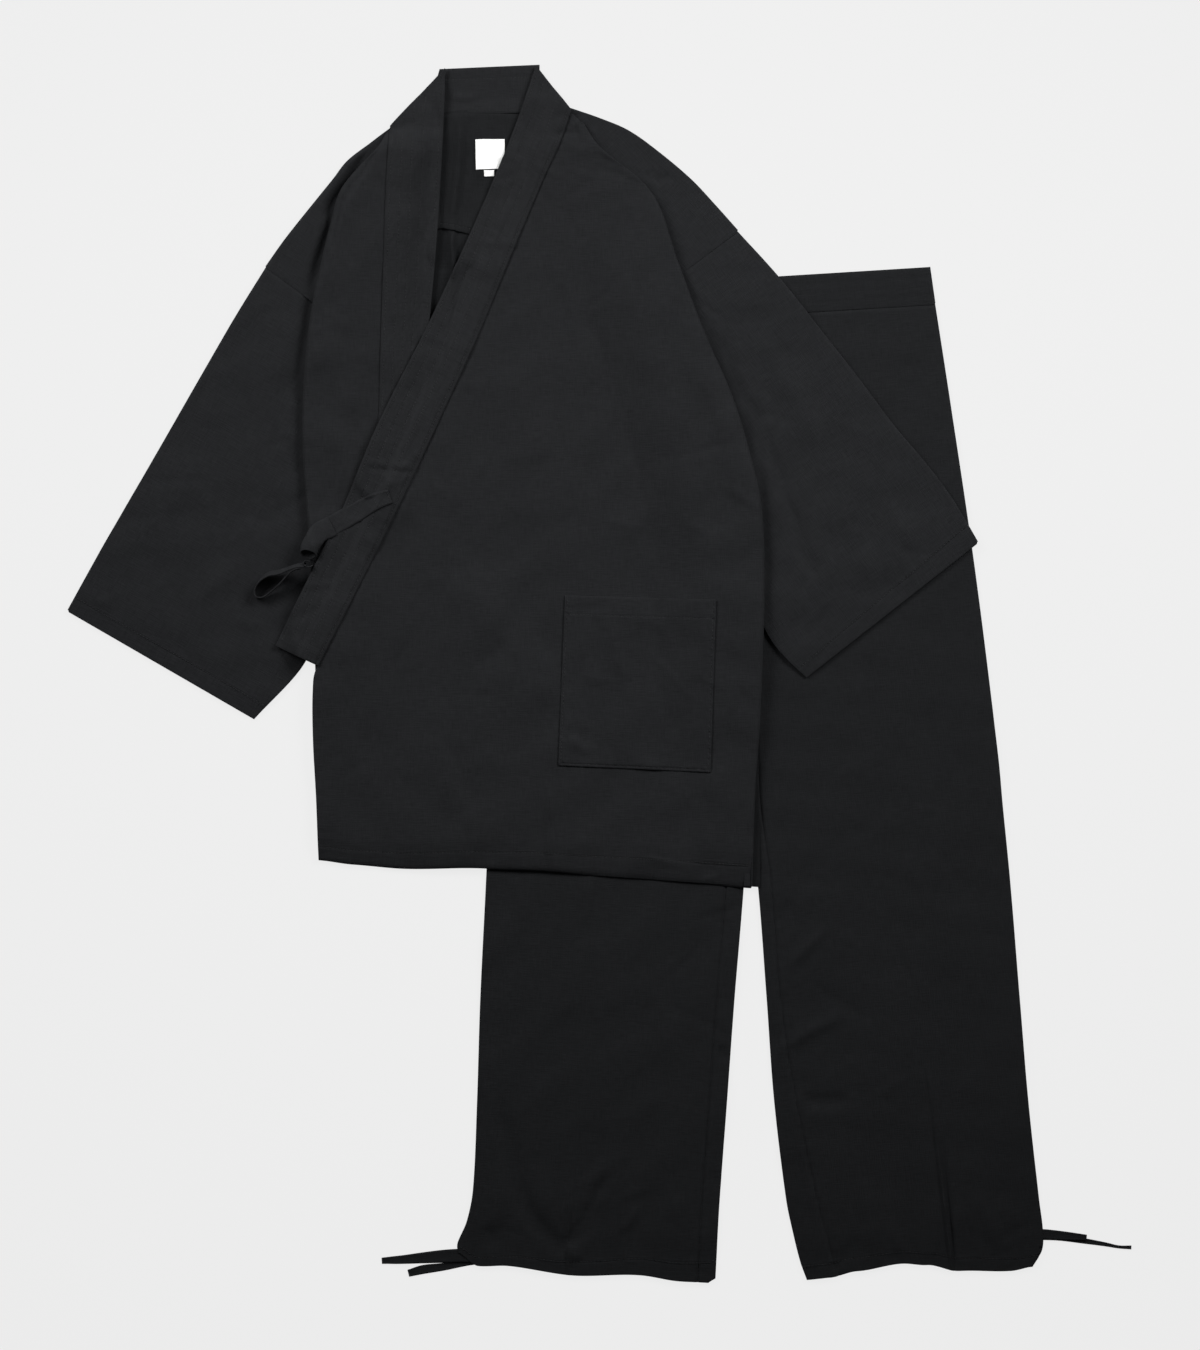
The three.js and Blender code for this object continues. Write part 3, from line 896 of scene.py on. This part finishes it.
def sideways(piece, pitch, fine=()):
    """Shares across a piece; fine places are distances from its far edge."""
    rows = piece.edges(np.linspace(0, 1, 9))
    width = width_of(rows).max()
    return spread(width, pitch, [(width - at, reach, close) for at, reach, close in fine])


def fine_at_hem(depth):
    """Closer rows at a hem's edge and at its stitches."""
    return [(0, 8, 2.4), (depth, 3, 1.1)]


leg_right = Piece(
    LEG_RIGHT, folded=True, hem=LEG_RIGHT_HEM, waves=1.4, seed=3,
    creases=[
        (-96, -415, -82, -490, 7, -1.0), (-84, -478, -62, -534, 6.5, -1.2),
        (-68, -526, -32, -551, 6, -1.3), (-31, -549, -11, -524, 6, -1.1),
        (-13, -530, 7, -482, 6, -0.9), (-2, -512, 14, -484, 4, 0.5), (37, -508, 23, -533, 4, 0.7),
        (-30, -545, -20, -562, 6, 0.7), (-31, -490, -30, -573, 1.5, 0.8),
        (-12, -195, -12, -240, 5, 0.4), (-108, -530, -104, -549, 6, -0.8),
        (115, -357, 121, -369, 2.6, -0.8), (106, -479, 112, -490, 2.6, -0.8),
        (60, -300, 66, -380, 9, 0.35), (-60, -470, -48, -520, 8, 0.4),
        *wrinkles(3, LEG_RIGHT[:8], 26),
    ],
)
leg_left = Piece(
    LEG_LEFT, folded=True, hem=LEG_LEFT_HEM, waves=1.4, seed=5,
    creases=[
        (169, -362, 232, -327, 6, 0.7), (215, -242, 183, -281, 5, 0.7),
        (197, -410, 236, -408, 6, -0.9), (314, -380, 325, -470, 1.5, 0.6),
        (324, -450, 338, -575, 1.6, 1.0), (328, -450, 342, -575, 2.2, -0.7),
        (300, -60, 330, -250, 14, 0.35), (250, -470, 262, -560, 8, 0.5),
        (368, -500, 380, -550, 7, 0.5), (280, -520, 290, -560, 5, 0.4),
        *wrinkles(5, LEG_LEFT[:9], 30),
    ],
)
waistband = Piece(WAISTBAND, folded=True, waves=0.5, seed=6)


def right_inseam(above):
    return 17.0


def left_inseam(above):
    return 12.5 + 18.5 * (1 - smoothstep(above, 20, 300))


leg_right_detail = leg_detail(right_inseam, 3)
leg_left_detail = leg_detail(left_inseam, 5)
for name, piece, fine, detail, grain in (
    ("leg_right", leg_right, [(17, 5, 1.4), (143, 10, 2.4)], leg_right_detail, -3),
    ("leg_left", leg_left, [(20, 14, 2.4), (145, 16, 1.6)], leg_left_detail, 5.5),
):
    cloth(
        name, piece, SHADED_TROUSERS, upward(piece, SPREAD, fine_at_hem(LEG_HEM), TUCK),
        sideways(piece, SPREAD, fine), detail, grain=grain, under_columns=16,
    )


def waistband_detail(x, y, share, width, above):
    channels = sum(groove(above - at, 1.2, 0.25) for at in (9.0, 18.0, 27.0))
    gather = 0.22 * np.sin(share * width / 5.2 + 1.5 * np.sin(share * width / 23.0)) + 0.22
    return channels + gather * (0.35 + 0.65 * smoothstep(above, 2, 8))


cloth(
    "waistband", waistband, SHADED_TROUSERS, upward(waistband, 2.2),
    sideways(waistband, 2.6), waistband_detail, grain=5.5,
)
trousers = [leg_right, leg_left, waistband]

# ---- jacket, from the surface upward ----

jacket_back = Piece(
    JACKET_BACK, on=trousers, waves=1.0, seed=8,
    creases=[(-141, 430, -141, 380, 3, 2.0), *wrinkles(8, JACKET_BACK, 30)],
)


def hem_down(above, drop):
    """Layers of cloth lie closer on each other toward a hem."""
    return -drop * (1 - smoothstep(above, 4, 30)) - 0.9 * drop * np.exp(-above / 3.0)


def back_detail(x, y, share, width, above):
    side = (1 - share) * width
    return hem_down(above, 0.25) - 0.25 * (1 - smoothstep(side, 1, 9))


cloth(
    "jacket_back", jacket_back, SHADED_BACK, upward(jacket_back, 5, tuck=TUCK),
    sideways(jacket_back, 6, [(0, 14, 2), (267, 24, 2.4)]), back_detail,
)


def sleeve_detail(seed):
    def detail(x, y, share, width, above):
        return hem_detail(above, share * width, seed) + hem_down(above, 0.45)
    return detail


sleeve_right = Piece(
    SLEEVE_RIGHT, folded=True, bend=SLEEVE_RIGHT_BEND, waves=1.6, seed=11,
    creases=[
        (-400, 60, -345, 110, 10, 0.45), (-430, 140, -380, 200, 12, 0.4),
        (-330, 250, -300, 330, 12, 0.4), (-292, 150, -288, 310, 9, -0.5),
        (-289, 270, -268, 400, 8, -1.2), *wrinkles(11, SLEEVE_RIGHT, 30),
    ],
)
sleeve_left = Piece(
    SLEEVE_LEFT, on=trousers, folded=True, waves=1.6, seed=12,
    creases=[
        (111, 325, 174, 181, 7, -0.9), (174, 181, 206, 90, 6, -0.6),
        (96, 345, 150, 200, 6, -0.5), (152, 220, 159, 60, 5, -0.5),
        (150, 330, 215, 210, 10, 0.45), (240, 150, 262, 90, 9, 0.4), (270, 170, 300, 120, 8, 0.35),
        (186, 130, 206, 96, 5, -0.5), *wrinkles(12, SLEEVE_LEFT, 34),
    ],
)
for name, piece, seed, grain, under in (
    ("sleeve_right", sleeve_right, 1, -28, ()),
    ("sleeve_left", sleeve_left, 2, 35, ["leg_left", "leg_right", "waistband"]),
):
    cloth(
        name, piece, JACKET, upward(piece, SPREAD, fine_at_hem(HEM), TUCK),
        sideways(piece, SPREAD), sleeve_detail(seed), grain=grain,
    )

shoulder_right = Piece(
    SHOULDER_RIGHT, folded=True, bend=SHOULDER_RIGHT_BEND, waves=0.8, seed=14,
    creases=[
        (-279, 370, -244, 470, 6, -2.6), (-262, 438, -222, 500, 6, -2.8),
        (-240, 476, -200, 525, 6, -2.4),
    ],
)
shoulder_left = Piece(
    SHOULDER_LEFT, on=trousers, folded=True, waves=0.9, seed=15,
    creases=[(52, 472, 68, 480, 4, -0.6), *wrinkles(15, SHOULDER_LEFT, 8)],
)


def armhole_detail(x, y, share, width, above):
    return groove(above - 0.6, 0.9, 0.12) + 0.12 * (1 - smoothstep(above, 8, 11))


for name, piece, grain, under in (
    ("shoulder_right", shoulder_right, -33, []),
    ("shoulder_left", shoulder_left, 42, ["waistband"]),
):
    cloth(
        name, piece, JACKET, upward(piece, 3), sideways(piece, 3), armhole_detail,
        grain=grain,
    )

back_yoke = Piece(
    BACK_YOKE, on=[jacket_back], hem=YOKE_HEM, waves=1.3, seed=16,
    creases=[
        (-142, 432, -133, 536, 4.5, 1.9), (-117, 470, -112, 530, 5, 0.7),
        (-98, 420, -92, 470, 5, 0.8), (-128, 425, -124, 500, 4, -0.6),
        (-152, 425, -148, 520, 4, -0.7),
    ],
)
YOKE_TURN = 6.0        # depth of the yoke's narrow hem


def yoke_detail(x, y, share, width, above):
    return hem_detail(above, share * width, 4, YOKE_TURN, 0.15) - 0.5 * np.exp(-above / 2.0)


cloth(
    "back_yoke", back_yoke, SHADED_YOKE, upward(back_yoke, 2.4, [(YOKE_TURN, 2, 1)], TUCK),
    sideways(back_yoke, 2.6), yoke_detail,
)
TAPE = 0.6             # wall of the label and its tab
LABEL_SIZE = (28, 29)
TAB_SIZE = (9.5, 6)
neck_label = Piece(NECK_LABEL, on=[back_yoke], thick=TAPE)
label_tab = Piece(LABEL_TAB, on=[back_yoke], thick=TAPE)


def label_detail(x, y, share, width, above):
    end = np.minimum(above, LABEL_SIZE[1] - above)
    edge = np.minimum(np.minimum(share, 1 - share) * width, end)
    return 0.25 * (1 - smoothstep(edge, 1.6, 2.6)) + groove(edge - 2.4, 0.5, 0.2)


tab = cloth(
    "label_tab", label_tab, LABEL, spread(TAB_SIZE[1], 1), spread(TAB_SIZE[0], 1),
    sheet=False,
)
cloth(
    "neck_label", neck_label, LABEL, spread(LABEL_SIZE[1], 1), spread(LABEL_SIZE[0], 1),
    label_detail,
)

front_right = Piece(
    FRONT_RIGHT, on=[jacket_back, sleeve_right, shoulder_right, back_yoke], folded=True,
    turn=FRONT_RIGHT_TURN, bend=FRONT_RIGHT_BEND, waves=1.5, seed=21,
    creases=[
        (-262, 330, -240, 250, 9, 0.5), (-258, 240, -235, 180, 8, 0.45),
        (-232, 440, -225, 380, 8, 0.4), *wrinkles(21, FRONT_RIGHT[5:], 22),
    ],
)


def front_right_detail(x, y, share, width, above):
    return hem_down(above, 0.6)


cloth(
    "front_right", front_right, JACKET, upward(front_right, 4),
    sideways(front_right, 4), front_right_detail, under_columns=6,
)


def collar_detail(lines, seed, sewn_first, lift):
    """A collar band: rounded long edges and rows of quilting stitches along it."""
    def detail(x, y, share, width, above):
        edge = np.minimum(share, 1 - share) * width
        rows = sum(groove((share - at) * width, 0.8, 0.32) for at in lines)
        along = above / 9.0
        wander = 0.10 * (1 + np.sin(along * 2 * math.pi + 5 * share + seed))
        sewn = share * width if sewn_first else (1 - share) * width
        free = width - sewn
        rolled = 0.35 * np.exp(-edge / 0.8) + 1.1 * (1 - smoothstep(sewn, 0.5, 6))
        return rows + wander - rolled + lift * (1 - smoothstep(free, 0, 20))
    return detail


COLLAR_LINES = (0.07, 0.26, 0.45, 0.64, 0.93)   # shares of the band's width
COLLAR_BACK_LINES = (2.5, 5.5, 34.0)            # heights above its seam
COLLAR_BACK_HIGH = 45.4
collar_back = Piece(
    COLLAR_BACK, thick=BAND, waves=0.2, seed=24, creases=[(-142, 554, -118, 554, 4, 0.5)],
)


def collar_back_detail(x, y, share, width, above):
    lines = sum(groove(above - at, 0.7, 0.35) for at in COLLAR_BACK_LINES)
    seat = 1.5 * (1 - smoothstep(above, 2, 16))
    return lines + seat - 0.4 * np.exp(-np.minimum(above, COLLAR_BACK_HIGH - above) / 1.3)


cloth(
    "collar_back", collar_back, COLLAR, upward(collar_back, 1.6),
    sideways(collar_back, 2.4), collar_back_detail, grain=-90,
)
collar_right = Piece(
    COLLAR_RIGHT, on=[back_yoke, front_right, collar_back, jacket_back], thick=BAND,
    reach=STIFF_REACH, gap=GAP + EASE, waves=0.6, seed=25,
    creases=wrinkles(25, COLLAR_RIGHT, 12, 0.25),
)
right_band = collar_detail(COLLAR_LINES, 1, True, 2.4)
cloth(
    "collar_right", collar_right, COLLAR, upward(collar_right, 3),
    sideways(collar_right, 1.3), right_band, grain=-2.5,
)

front_left = Piece(
    FRONT_LEFT, on=[jacket_back, front_right, sleeve_left, shoulder_left, collar_right],
    folded=True, turn=FRONT_LEFT_TURN, hem=FRONT_LEFT_HEM, gap=GAP + EASE, bend=FRONT_LEFT_BEND,
    waves=1.3, seed=31,
    creases=[
        (-49, -104, -49, -192, 2.8, 1.0), (-22, -112, -2, -124, 5, -0.8),
        (-253, -104, -221, -133, 9, -0.7), (-147, 249, -117, 262, 5, 0.7),
        (-142, 267, -180, 189, 5, -0.9), (-180, 150, -150, 165, 8, -0.7),
        (-10, 518, 38, 474, 6, 0.6), (-30, 430, 20, 330, 22, 0.5), (60, 250, 84, 120, 20, 0.5),
        (-120, 100, -60, -20, 26, 0.5), (-200, 20, -230, -60, 18, 0.5),
        (100, 300, 128, 190, 10, 0.5),
        (-90, 300, -60, 200, 18, 0.4), (30, 60, 60, 40, 10, 0.4), (-160, -60, -120, -150, 16, 0.5),
        (-170, 178, -128, 262, 6, -0.7), *wrinkles(31, FRONT_LEFT, 60),
    ],
)
JACKET_HEM = 18.0


def front_left_detail(x, y, share, width, above):
    collar = (1 - share) * width
    return (
        hem_detail(above, share * width, 6, JACKET_HEM) + hem_down(above, 2.3)
        + pucker(above, collar, 2, 0.2, 13.0, 10.0) - 0.5 * (1 - smoothstep(collar, 3, 11))
    )


cloth(
    "front_left", front_left, JACKET,
    upward(front_left, SPREAD, [(0, 8, 2.6), (JACKET_HEM, 3, 1.1)]),
    sideways(front_left, SPREAD, [(0, 12, 3)]), front_left_detail, under_columns=6,
)
collar_left = Piece(
    COLLAR_LEFT,
    on=[
        back_yoke, front_right, collar_back, collar_right, front_left, sleeve_right,
        shoulder_left, neck_label,
    ],
    thick=BAND, reach=26, gap=GAP + EASE, waves=0.8, seed=33,
    creases=[
        (-51, 546, -45, 531, 3.5, -0.8), (-225, 203, -174, 198, 1.6, 0.5),
        (-269, 10, -255, -1, 4, 0.5),
        (-240, 110, -222, 104, 6, 0.4), (-210, 190, -190, 180, 6, 0.3),
        (-224, 197, -176, 193, 1.4, -0.4), *wrinkles(33, COLLAR_LEFT, 22, 0.25),
    ],
)
left_band = collar_detail(COLLAR_LINES, 2, False, 1.4)
cloth(
    "collar_left", collar_left, COLLAR, upward(collar_left, 3),
    sideways(collar_left, 1.3), left_band, grain=-25,
)
pocket = Piece(
    POCKET, on=[front_left], thick=0.7, gap=0.15, waves=0.5, seed=35,
    creases=[
        (10, 60, 22, -10, 6, 0.5), (70, 20, 60, -60, 8, 0.4), (-28, -60, -10, -76, 5, 0.5),
        (-6, 52, 0, 8, 5, -0.6), *wrinkles(35, POCKET, 10),
    ],
)
POCKET_HEM = 20.0
POCKET_HIGH = 164.0
POCKET_WIDE = 146
POCKET_SEAM = 2.4      # from the pocket's edge to its stitches


def pocket_detail(x, y, share, width, above):
    side = np.minimum(share, 1 - share) * width
    edge = np.minimum(side, above)
    down = POCKET_HIGH - above
    return (
        0.3 * (1 - smoothstep(edge, 1.6, 2.4)) + groove(edge - POCKET_SEAM, 0.7, 0.45)
        + pucker(above + share * width, edge - 3, 3, 0.22) - 0.9 * np.exp(-above / 1.6)
        - 0.3 * np.exp(-side / 0.9) + hem_detail(down, share * width, 8, POCKET_HEM, 0.25)
    )


cloth(
    "pocket", pocket, JACKET,
    spread(POCKET_HIGH, 2.6, [(2, 4, 1), (POCKET_HIGH - POCKET_HEM, 3, 1.1)]),
    spread(POCKET_WIDE, 2.6, [(2, 4, 1), (POCKET_WIDE - 2, 4, 1)]),
    pocket_detail, grain=2,
)

# ---- ties ----


def strip(path):
    """Sections of a strip along a path of x, y and width."""
    path = np.asarray(path, float)
    ahead = np.diff(path[:, :2], axis=0)
    heading = np.concatenate([ahead[:1], ahead[1:] + ahead[:-1], ahead[-1:]])
    side = np.stack([-heading[:, 1], heading[:, 0]], axis=1)
    side *= (path[:, 2] / 2 / np.linalg.norm(side, axis=1))[:, None]
    return np.concatenate([path[:, :2] + side, path[:, :2] - side], axis=1)


def tie_detail(x, y, share, width, above):
    """A narrow tube of cloth pressed flat, a little thicker along its two edges."""
    edge = np.abs(2 * share - 1)
    return 0.45 * edge ** 3 - 0.9 * np.maximum(edge - 0.86, 0) * 7


under_tie = [sleeve_right, front_right, collar_left, front_left]
tie_band = Piece(
    strip(TIE_BAND), on=under_tie, thick=1.0, reach=STIFF_REACH, gap=GAP,
    creases=[(-258, 140, -236, 151, 2.4, 0.08)],
)
cloth(
    "tie_band", tie_band, COLLAR, spread(80, 1.2), spread(18, 0.8), tie_detail,
    grain=60,
)
laid_ties = []
for name, path in HEM_TIES.items():
    tie = Piece(strip(path), on=laid_ties[-1:] if "upper" in name else [], thick=1.0, reach=6)
    laid_ties.append(tie)
    lace = cloth(
        name, tie, SHADED_TROUSERS, np.linspace(0, 1, 30), spread(9, 0.7), tie_detail,
        sheet=False,
    )
    middle = tie.edges(np.linspace(0, 1, 20))
    middle = (middle[:, :2] + middle[:, 2:]) / 2 - CENTRE
    route = [(px * MM, py * MM, LACE * MM) for px, py in middle]

# ---- the bow ----

# columns: middle of the ribbon x, y, its height above what it lies on, lean onto its edge, width
BOW_LOOP = [
    (-281, 104.8, 2.6, -50, 6), (-289, 104.0, 3.2, -60, 7), (-299, 100.8, 3.8, -66, 8),
    (-308, 97.8, 4.5, -64, 10.2), (-318, 95.8, 4.6, -68, 10.5), (-326.5, 89.5, 4.4, -80, 9.4),
    (-331, 80.5, 3.9, -88, 7.8), (-330, 74.8, 3.7, -90, 7.2), (-324.5, 73.8, 3.6, -90, 6.8),
    (-316, 78.8, 3.5, -90, 6.6), (-307, 86.3, 3.5, -90, 6.6), (-299, 94.8, 3.5, -90, 6.6),
    (-291.5, 100.5, 3.4, -88, 6.4), (-286.5, 101.5, 3.0, -84, 6),
]
# columns: middle of the knot's tube x, y, its height, half its width, half its depth, climb
KNOT_TUBE = [
    (-256, 142.4, 0.9, 9.3, 0.8, 0), (-265, 137.6, 1.5, 9.2, 1.3, 0),
    (-272, 131.4, 2.8, 8.7, 2.3, 6), (-276, 124, 4.0, 8.1, 3.7, 22),
    (-278.2, 117.4, 4.4, 7.6, 4.9, 42), (-278.8, 114.6, 4.5, 7.2, 5.4, 50),
]
CURL = [
    (-274.5, 104.6, 2.6, -84, 4.4), (-277, 103.2, 3.0, -86, 5), (-280.5, 103.2, 3.2, -88, 5.2),
    (-283.5, 106, 3.2, -88, 5.2), (-281.5, 108.8, 3.0, -88, 5), (-277, 107.8, 2.8, -88, 4.6),
]


def ribbon(path, columns, steps):
    """A ribbon of cloth along a path in space, turned about its own middle line."""
    path = np.asarray(path, float)
    places = places_along(path[:, :2])
    at = np.linspace(0, places[-1], steps)
    x, y, rise, lean, width = (fine_curve(places, path[:, i], at) for i in range(5))
    heading = np.stack([np.gradient(x), np.gradient(y)], axis=1)
    heading /= np.linalg.norm(heading, axis=1)[:, None]
    side = np.stack([-heading[:, 1], heading[:, 0]], axis=1)
    floor = rest_on(under_tie, Spots(x, y), STIFF_REACH, GAP + EASE)
    offset = np.linspace(-0.5, 0.5, columns)[None, :] * width[:, None]
    tilt = np.radians(lean)[:, None]
    px = x[:, None] + side[:, [0]] * offset * np.cos(tilt)
    py = y[:, None] + side[:, [1]] * offset * np.cos(tilt)
    pz = floor[:, None] + rise[:, None] - offset * np.sin(tilt)
    return px, py, pz


x, y, z = ribbon(BOW_LOOP, 9, 90)
tie_loop = cloth_mesh("tie_loop_cloth", x, y, z, COLLAR, LACE * 0.8, grain=40)
wide, long, area = cut_of(x, y, z)
attach(tie_loop, "tie_loop")

x, y, z = ribbon(CURL, 6, 40)
tie_curl = cloth_mesh("tie_curl_cloth", x, y, z, COLLAR, LACE * 0.6, grain=20)
attach(tie_curl)

# the knot: the tie turned down into a tube, whose open end looks up
KNOT_ROUND = 40
KNOT_ROWS = 36
KNOT_WALL = 1.3
path = np.asarray(KNOT_TUBE, float)
places = places_along(path[:, :3])
at = np.linspace(0, places[-1], KNOT_ROWS)
x, y, rise, half_wide, half_deep, climb = (
    fine_curve(places, path[:, i], at)[:, None] for i in range(6)
)
heading = np.stack([np.gradient(x[:, 0]), np.gradient(y[:, 0])], axis=0)[:, :, None]
heading /= np.linalg.norm(heading, axis=0)
floor = rest_on(under_tie, Spots(x, y), STIFF_REACH, GAP)
angle = np.linspace(0, 2 * math.pi, KNOT_ROUND + 1)[None, :]
climb = np.radians(climb)
fold = 1 + 0.05 * np.sin(angle * 3 + at[:, None] * 0.35)
along = -np.sin(climb) * half_deep * np.sin(angle) * fold
px = x - heading[1] * half_wide * np.cos(angle) * fold + heading[0] * along
py = y + heading[0] * half_wide * np.cos(angle) * fold + heading[1] * along
pz = np.maximum(floor + rise + np.cos(climb) * half_deep * np.sin(angle) * fold, floor + 0.6)
tie_knot = cloth_mesh("tie_knot_cloth", px, py, pz, COLLAR, KNOT_WALL, grain=75)
attach(tie_knot, "tie_knot")

# ---- rows of stitches ----


def row_up(share, start, stop, steps=120):
    return np.linspace(start, stop, steps), np.full(steps, share)


def row_across(piece, height, start=0.01, stop=0.99, steps=160):
    return np.full(steps, height / piece.edges.length), np.linspace(start, stop, steps)


for where, piece, depth, detail in (
    ("trousers", leg_right, LEG_HEM, leg_right_detail),
    ("trousers", leg_left, LEG_HEM, leg_left_detail),
    ("jacket", sleeve_right, HEM, sleeve_detail(1)),
    ("jacket", sleeve_left, HEM, sleeve_detail(2)),
    ("jacket", front_left, JACKET_HEM, front_left_detail),
    ("jacket", back_yoke, YOKE_TURN, yoke_detail),
):
    stitch_on(where, piece, *row_across(piece, depth - STITCH_IN), detail)
for at in COLLAR_BACK_LINES:
    stitch_on("jacket", collar_back, *row_across(collar_back, at), collar_back_detail)
for at in COLLAR_LINES:
    stitch_on("jacket", collar_right, *row_up(at, 0.01, 0.99), right_band)
    stitch_on("jacket", collar_left, *row_up(at, 0.01, 0.99), left_band)
for share in (0.12, 0.88):
    stitch_on("jacket", tie_band, *row_up(share, 0.02, 0.19), tie_detail)
for height in (1.8, 15.0):
    stitch_on("jacket", tie_band, *row_across(tie_band, height, 0.12, 0.88), tie_detail)
side = POCKET_SEAM / POCKET_WIDE
for row in (
    row_up(side, 0.015, 0.99), row_up(1 - side, 0.015, 0.99),
    row_across(pocket, POCKET_SEAM, 0.015, 0.985),
    row_across(pocket, POCKET_HIGH - POCKET_HEM + STITCH_IN),
):
    stitch_on("jacket", pocket, *row, pocket_detail)

for where, bm in sewing.items():
    for face in bm.faces:
        face.smooth = True
    attach(add_object(where + "_stitches", bm, THREAD))

# ---- floor, light and camera ----

FLOOR_SIDE = 80.0
FLOOR_DROP = 0.0004        # below the lowest cloth
floor_finish = Finish("pale_floor")
glow = floor_finish.node("ShaderNodeEmission", {}, Color=(0.853, 0.853, 0.853, 1), Strength=1.0)
paper = floor_finish.node("ShaderNodeBsdfDiffuse", {}, Color=(0.8, 0.8, 0.8, 1))
surface = floor_finish.node("ShaderNodeMixShader", {}, 0.05, glow, paper)
floor_finish.feed(floor_finish.output.inputs["Surface"], surface)
bm = bmesh.new()
bmesh.ops.create_grid(bm, x_segments=1, y_segments=1, size=FLOOR_SIDE / 2)
floor = add_object("floor", bm, floor_finish.material)
floor.location.z = -FLOOR_DROP

world = bpy.data.worlds.new("studio")
world.use_nodes = True
sky = world.node_tree.nodes["Background"].inputs
sky["Color"].default_value = (0.84, 0.84, 0.84, 1)
sky["Strength"].default_value = 0.13
bpy.context.scene.world = world

SOFTBOX_WIDE = 1.3
SOFTBOX_HIGH = 0.7
SOFTBOX_BEAM = 70          # degrees, narrow enough to fall off toward the hems
SOFTBOX_AIM = (0.0, 0.07, 0.0)


def softbox(name, place, power):
    light = bpy.data.lights.new(name, "AREA")
    light.shape = "RECTANGLE"
    light.size = SOFTBOX_WIDE
    light.size_y = SOFTBOX_HIGH
    light.energy = power
    light.spread = math.radians(SOFTBOX_BEAM)
    lamp = bpy.data.objects.new(name, light)
    bpy.context.scene.collection.objects.link(lamp)
    lamp.location = place
    turn = (Vector(SOFTBOX_AIM) - Vector(place)).to_track_quat("-Z", "Y")
    lamp.rotation_euler = turn.to_euler()


softbox("right", (1.12, 1.16, 1.05), 8.5)
softbox("left", (-1.22, 1.16, 1.05), 7.5)

SENSOR = 36.0
CAMERA_HEIGHT = 4.0
PICTURE_HEIGHT = 1.296
PICTURE_MIDDLE = -0.48     # its y in the tables' frame; its x is 0
camera_data = bpy.data.cameras.new("overhead")
camera_data.sensor_width = SENSOR
camera_data.lens = SENSOR * CAMERA_HEIGHT / PICTURE_HEIGHT
camera = bpy.data.objects.new("overhead", camera_data)
bpy.context.scene.collection.objects.link(camera)
camera.location = (-CENTRE[0] * MM, (PICTURE_MIDDLE - CENTRE[1]) * MM, CAMERA_HEIGHT)
bpy.context.scene.camera = camera
bpy.context.scene.view_settings.view_transform = "Standard"
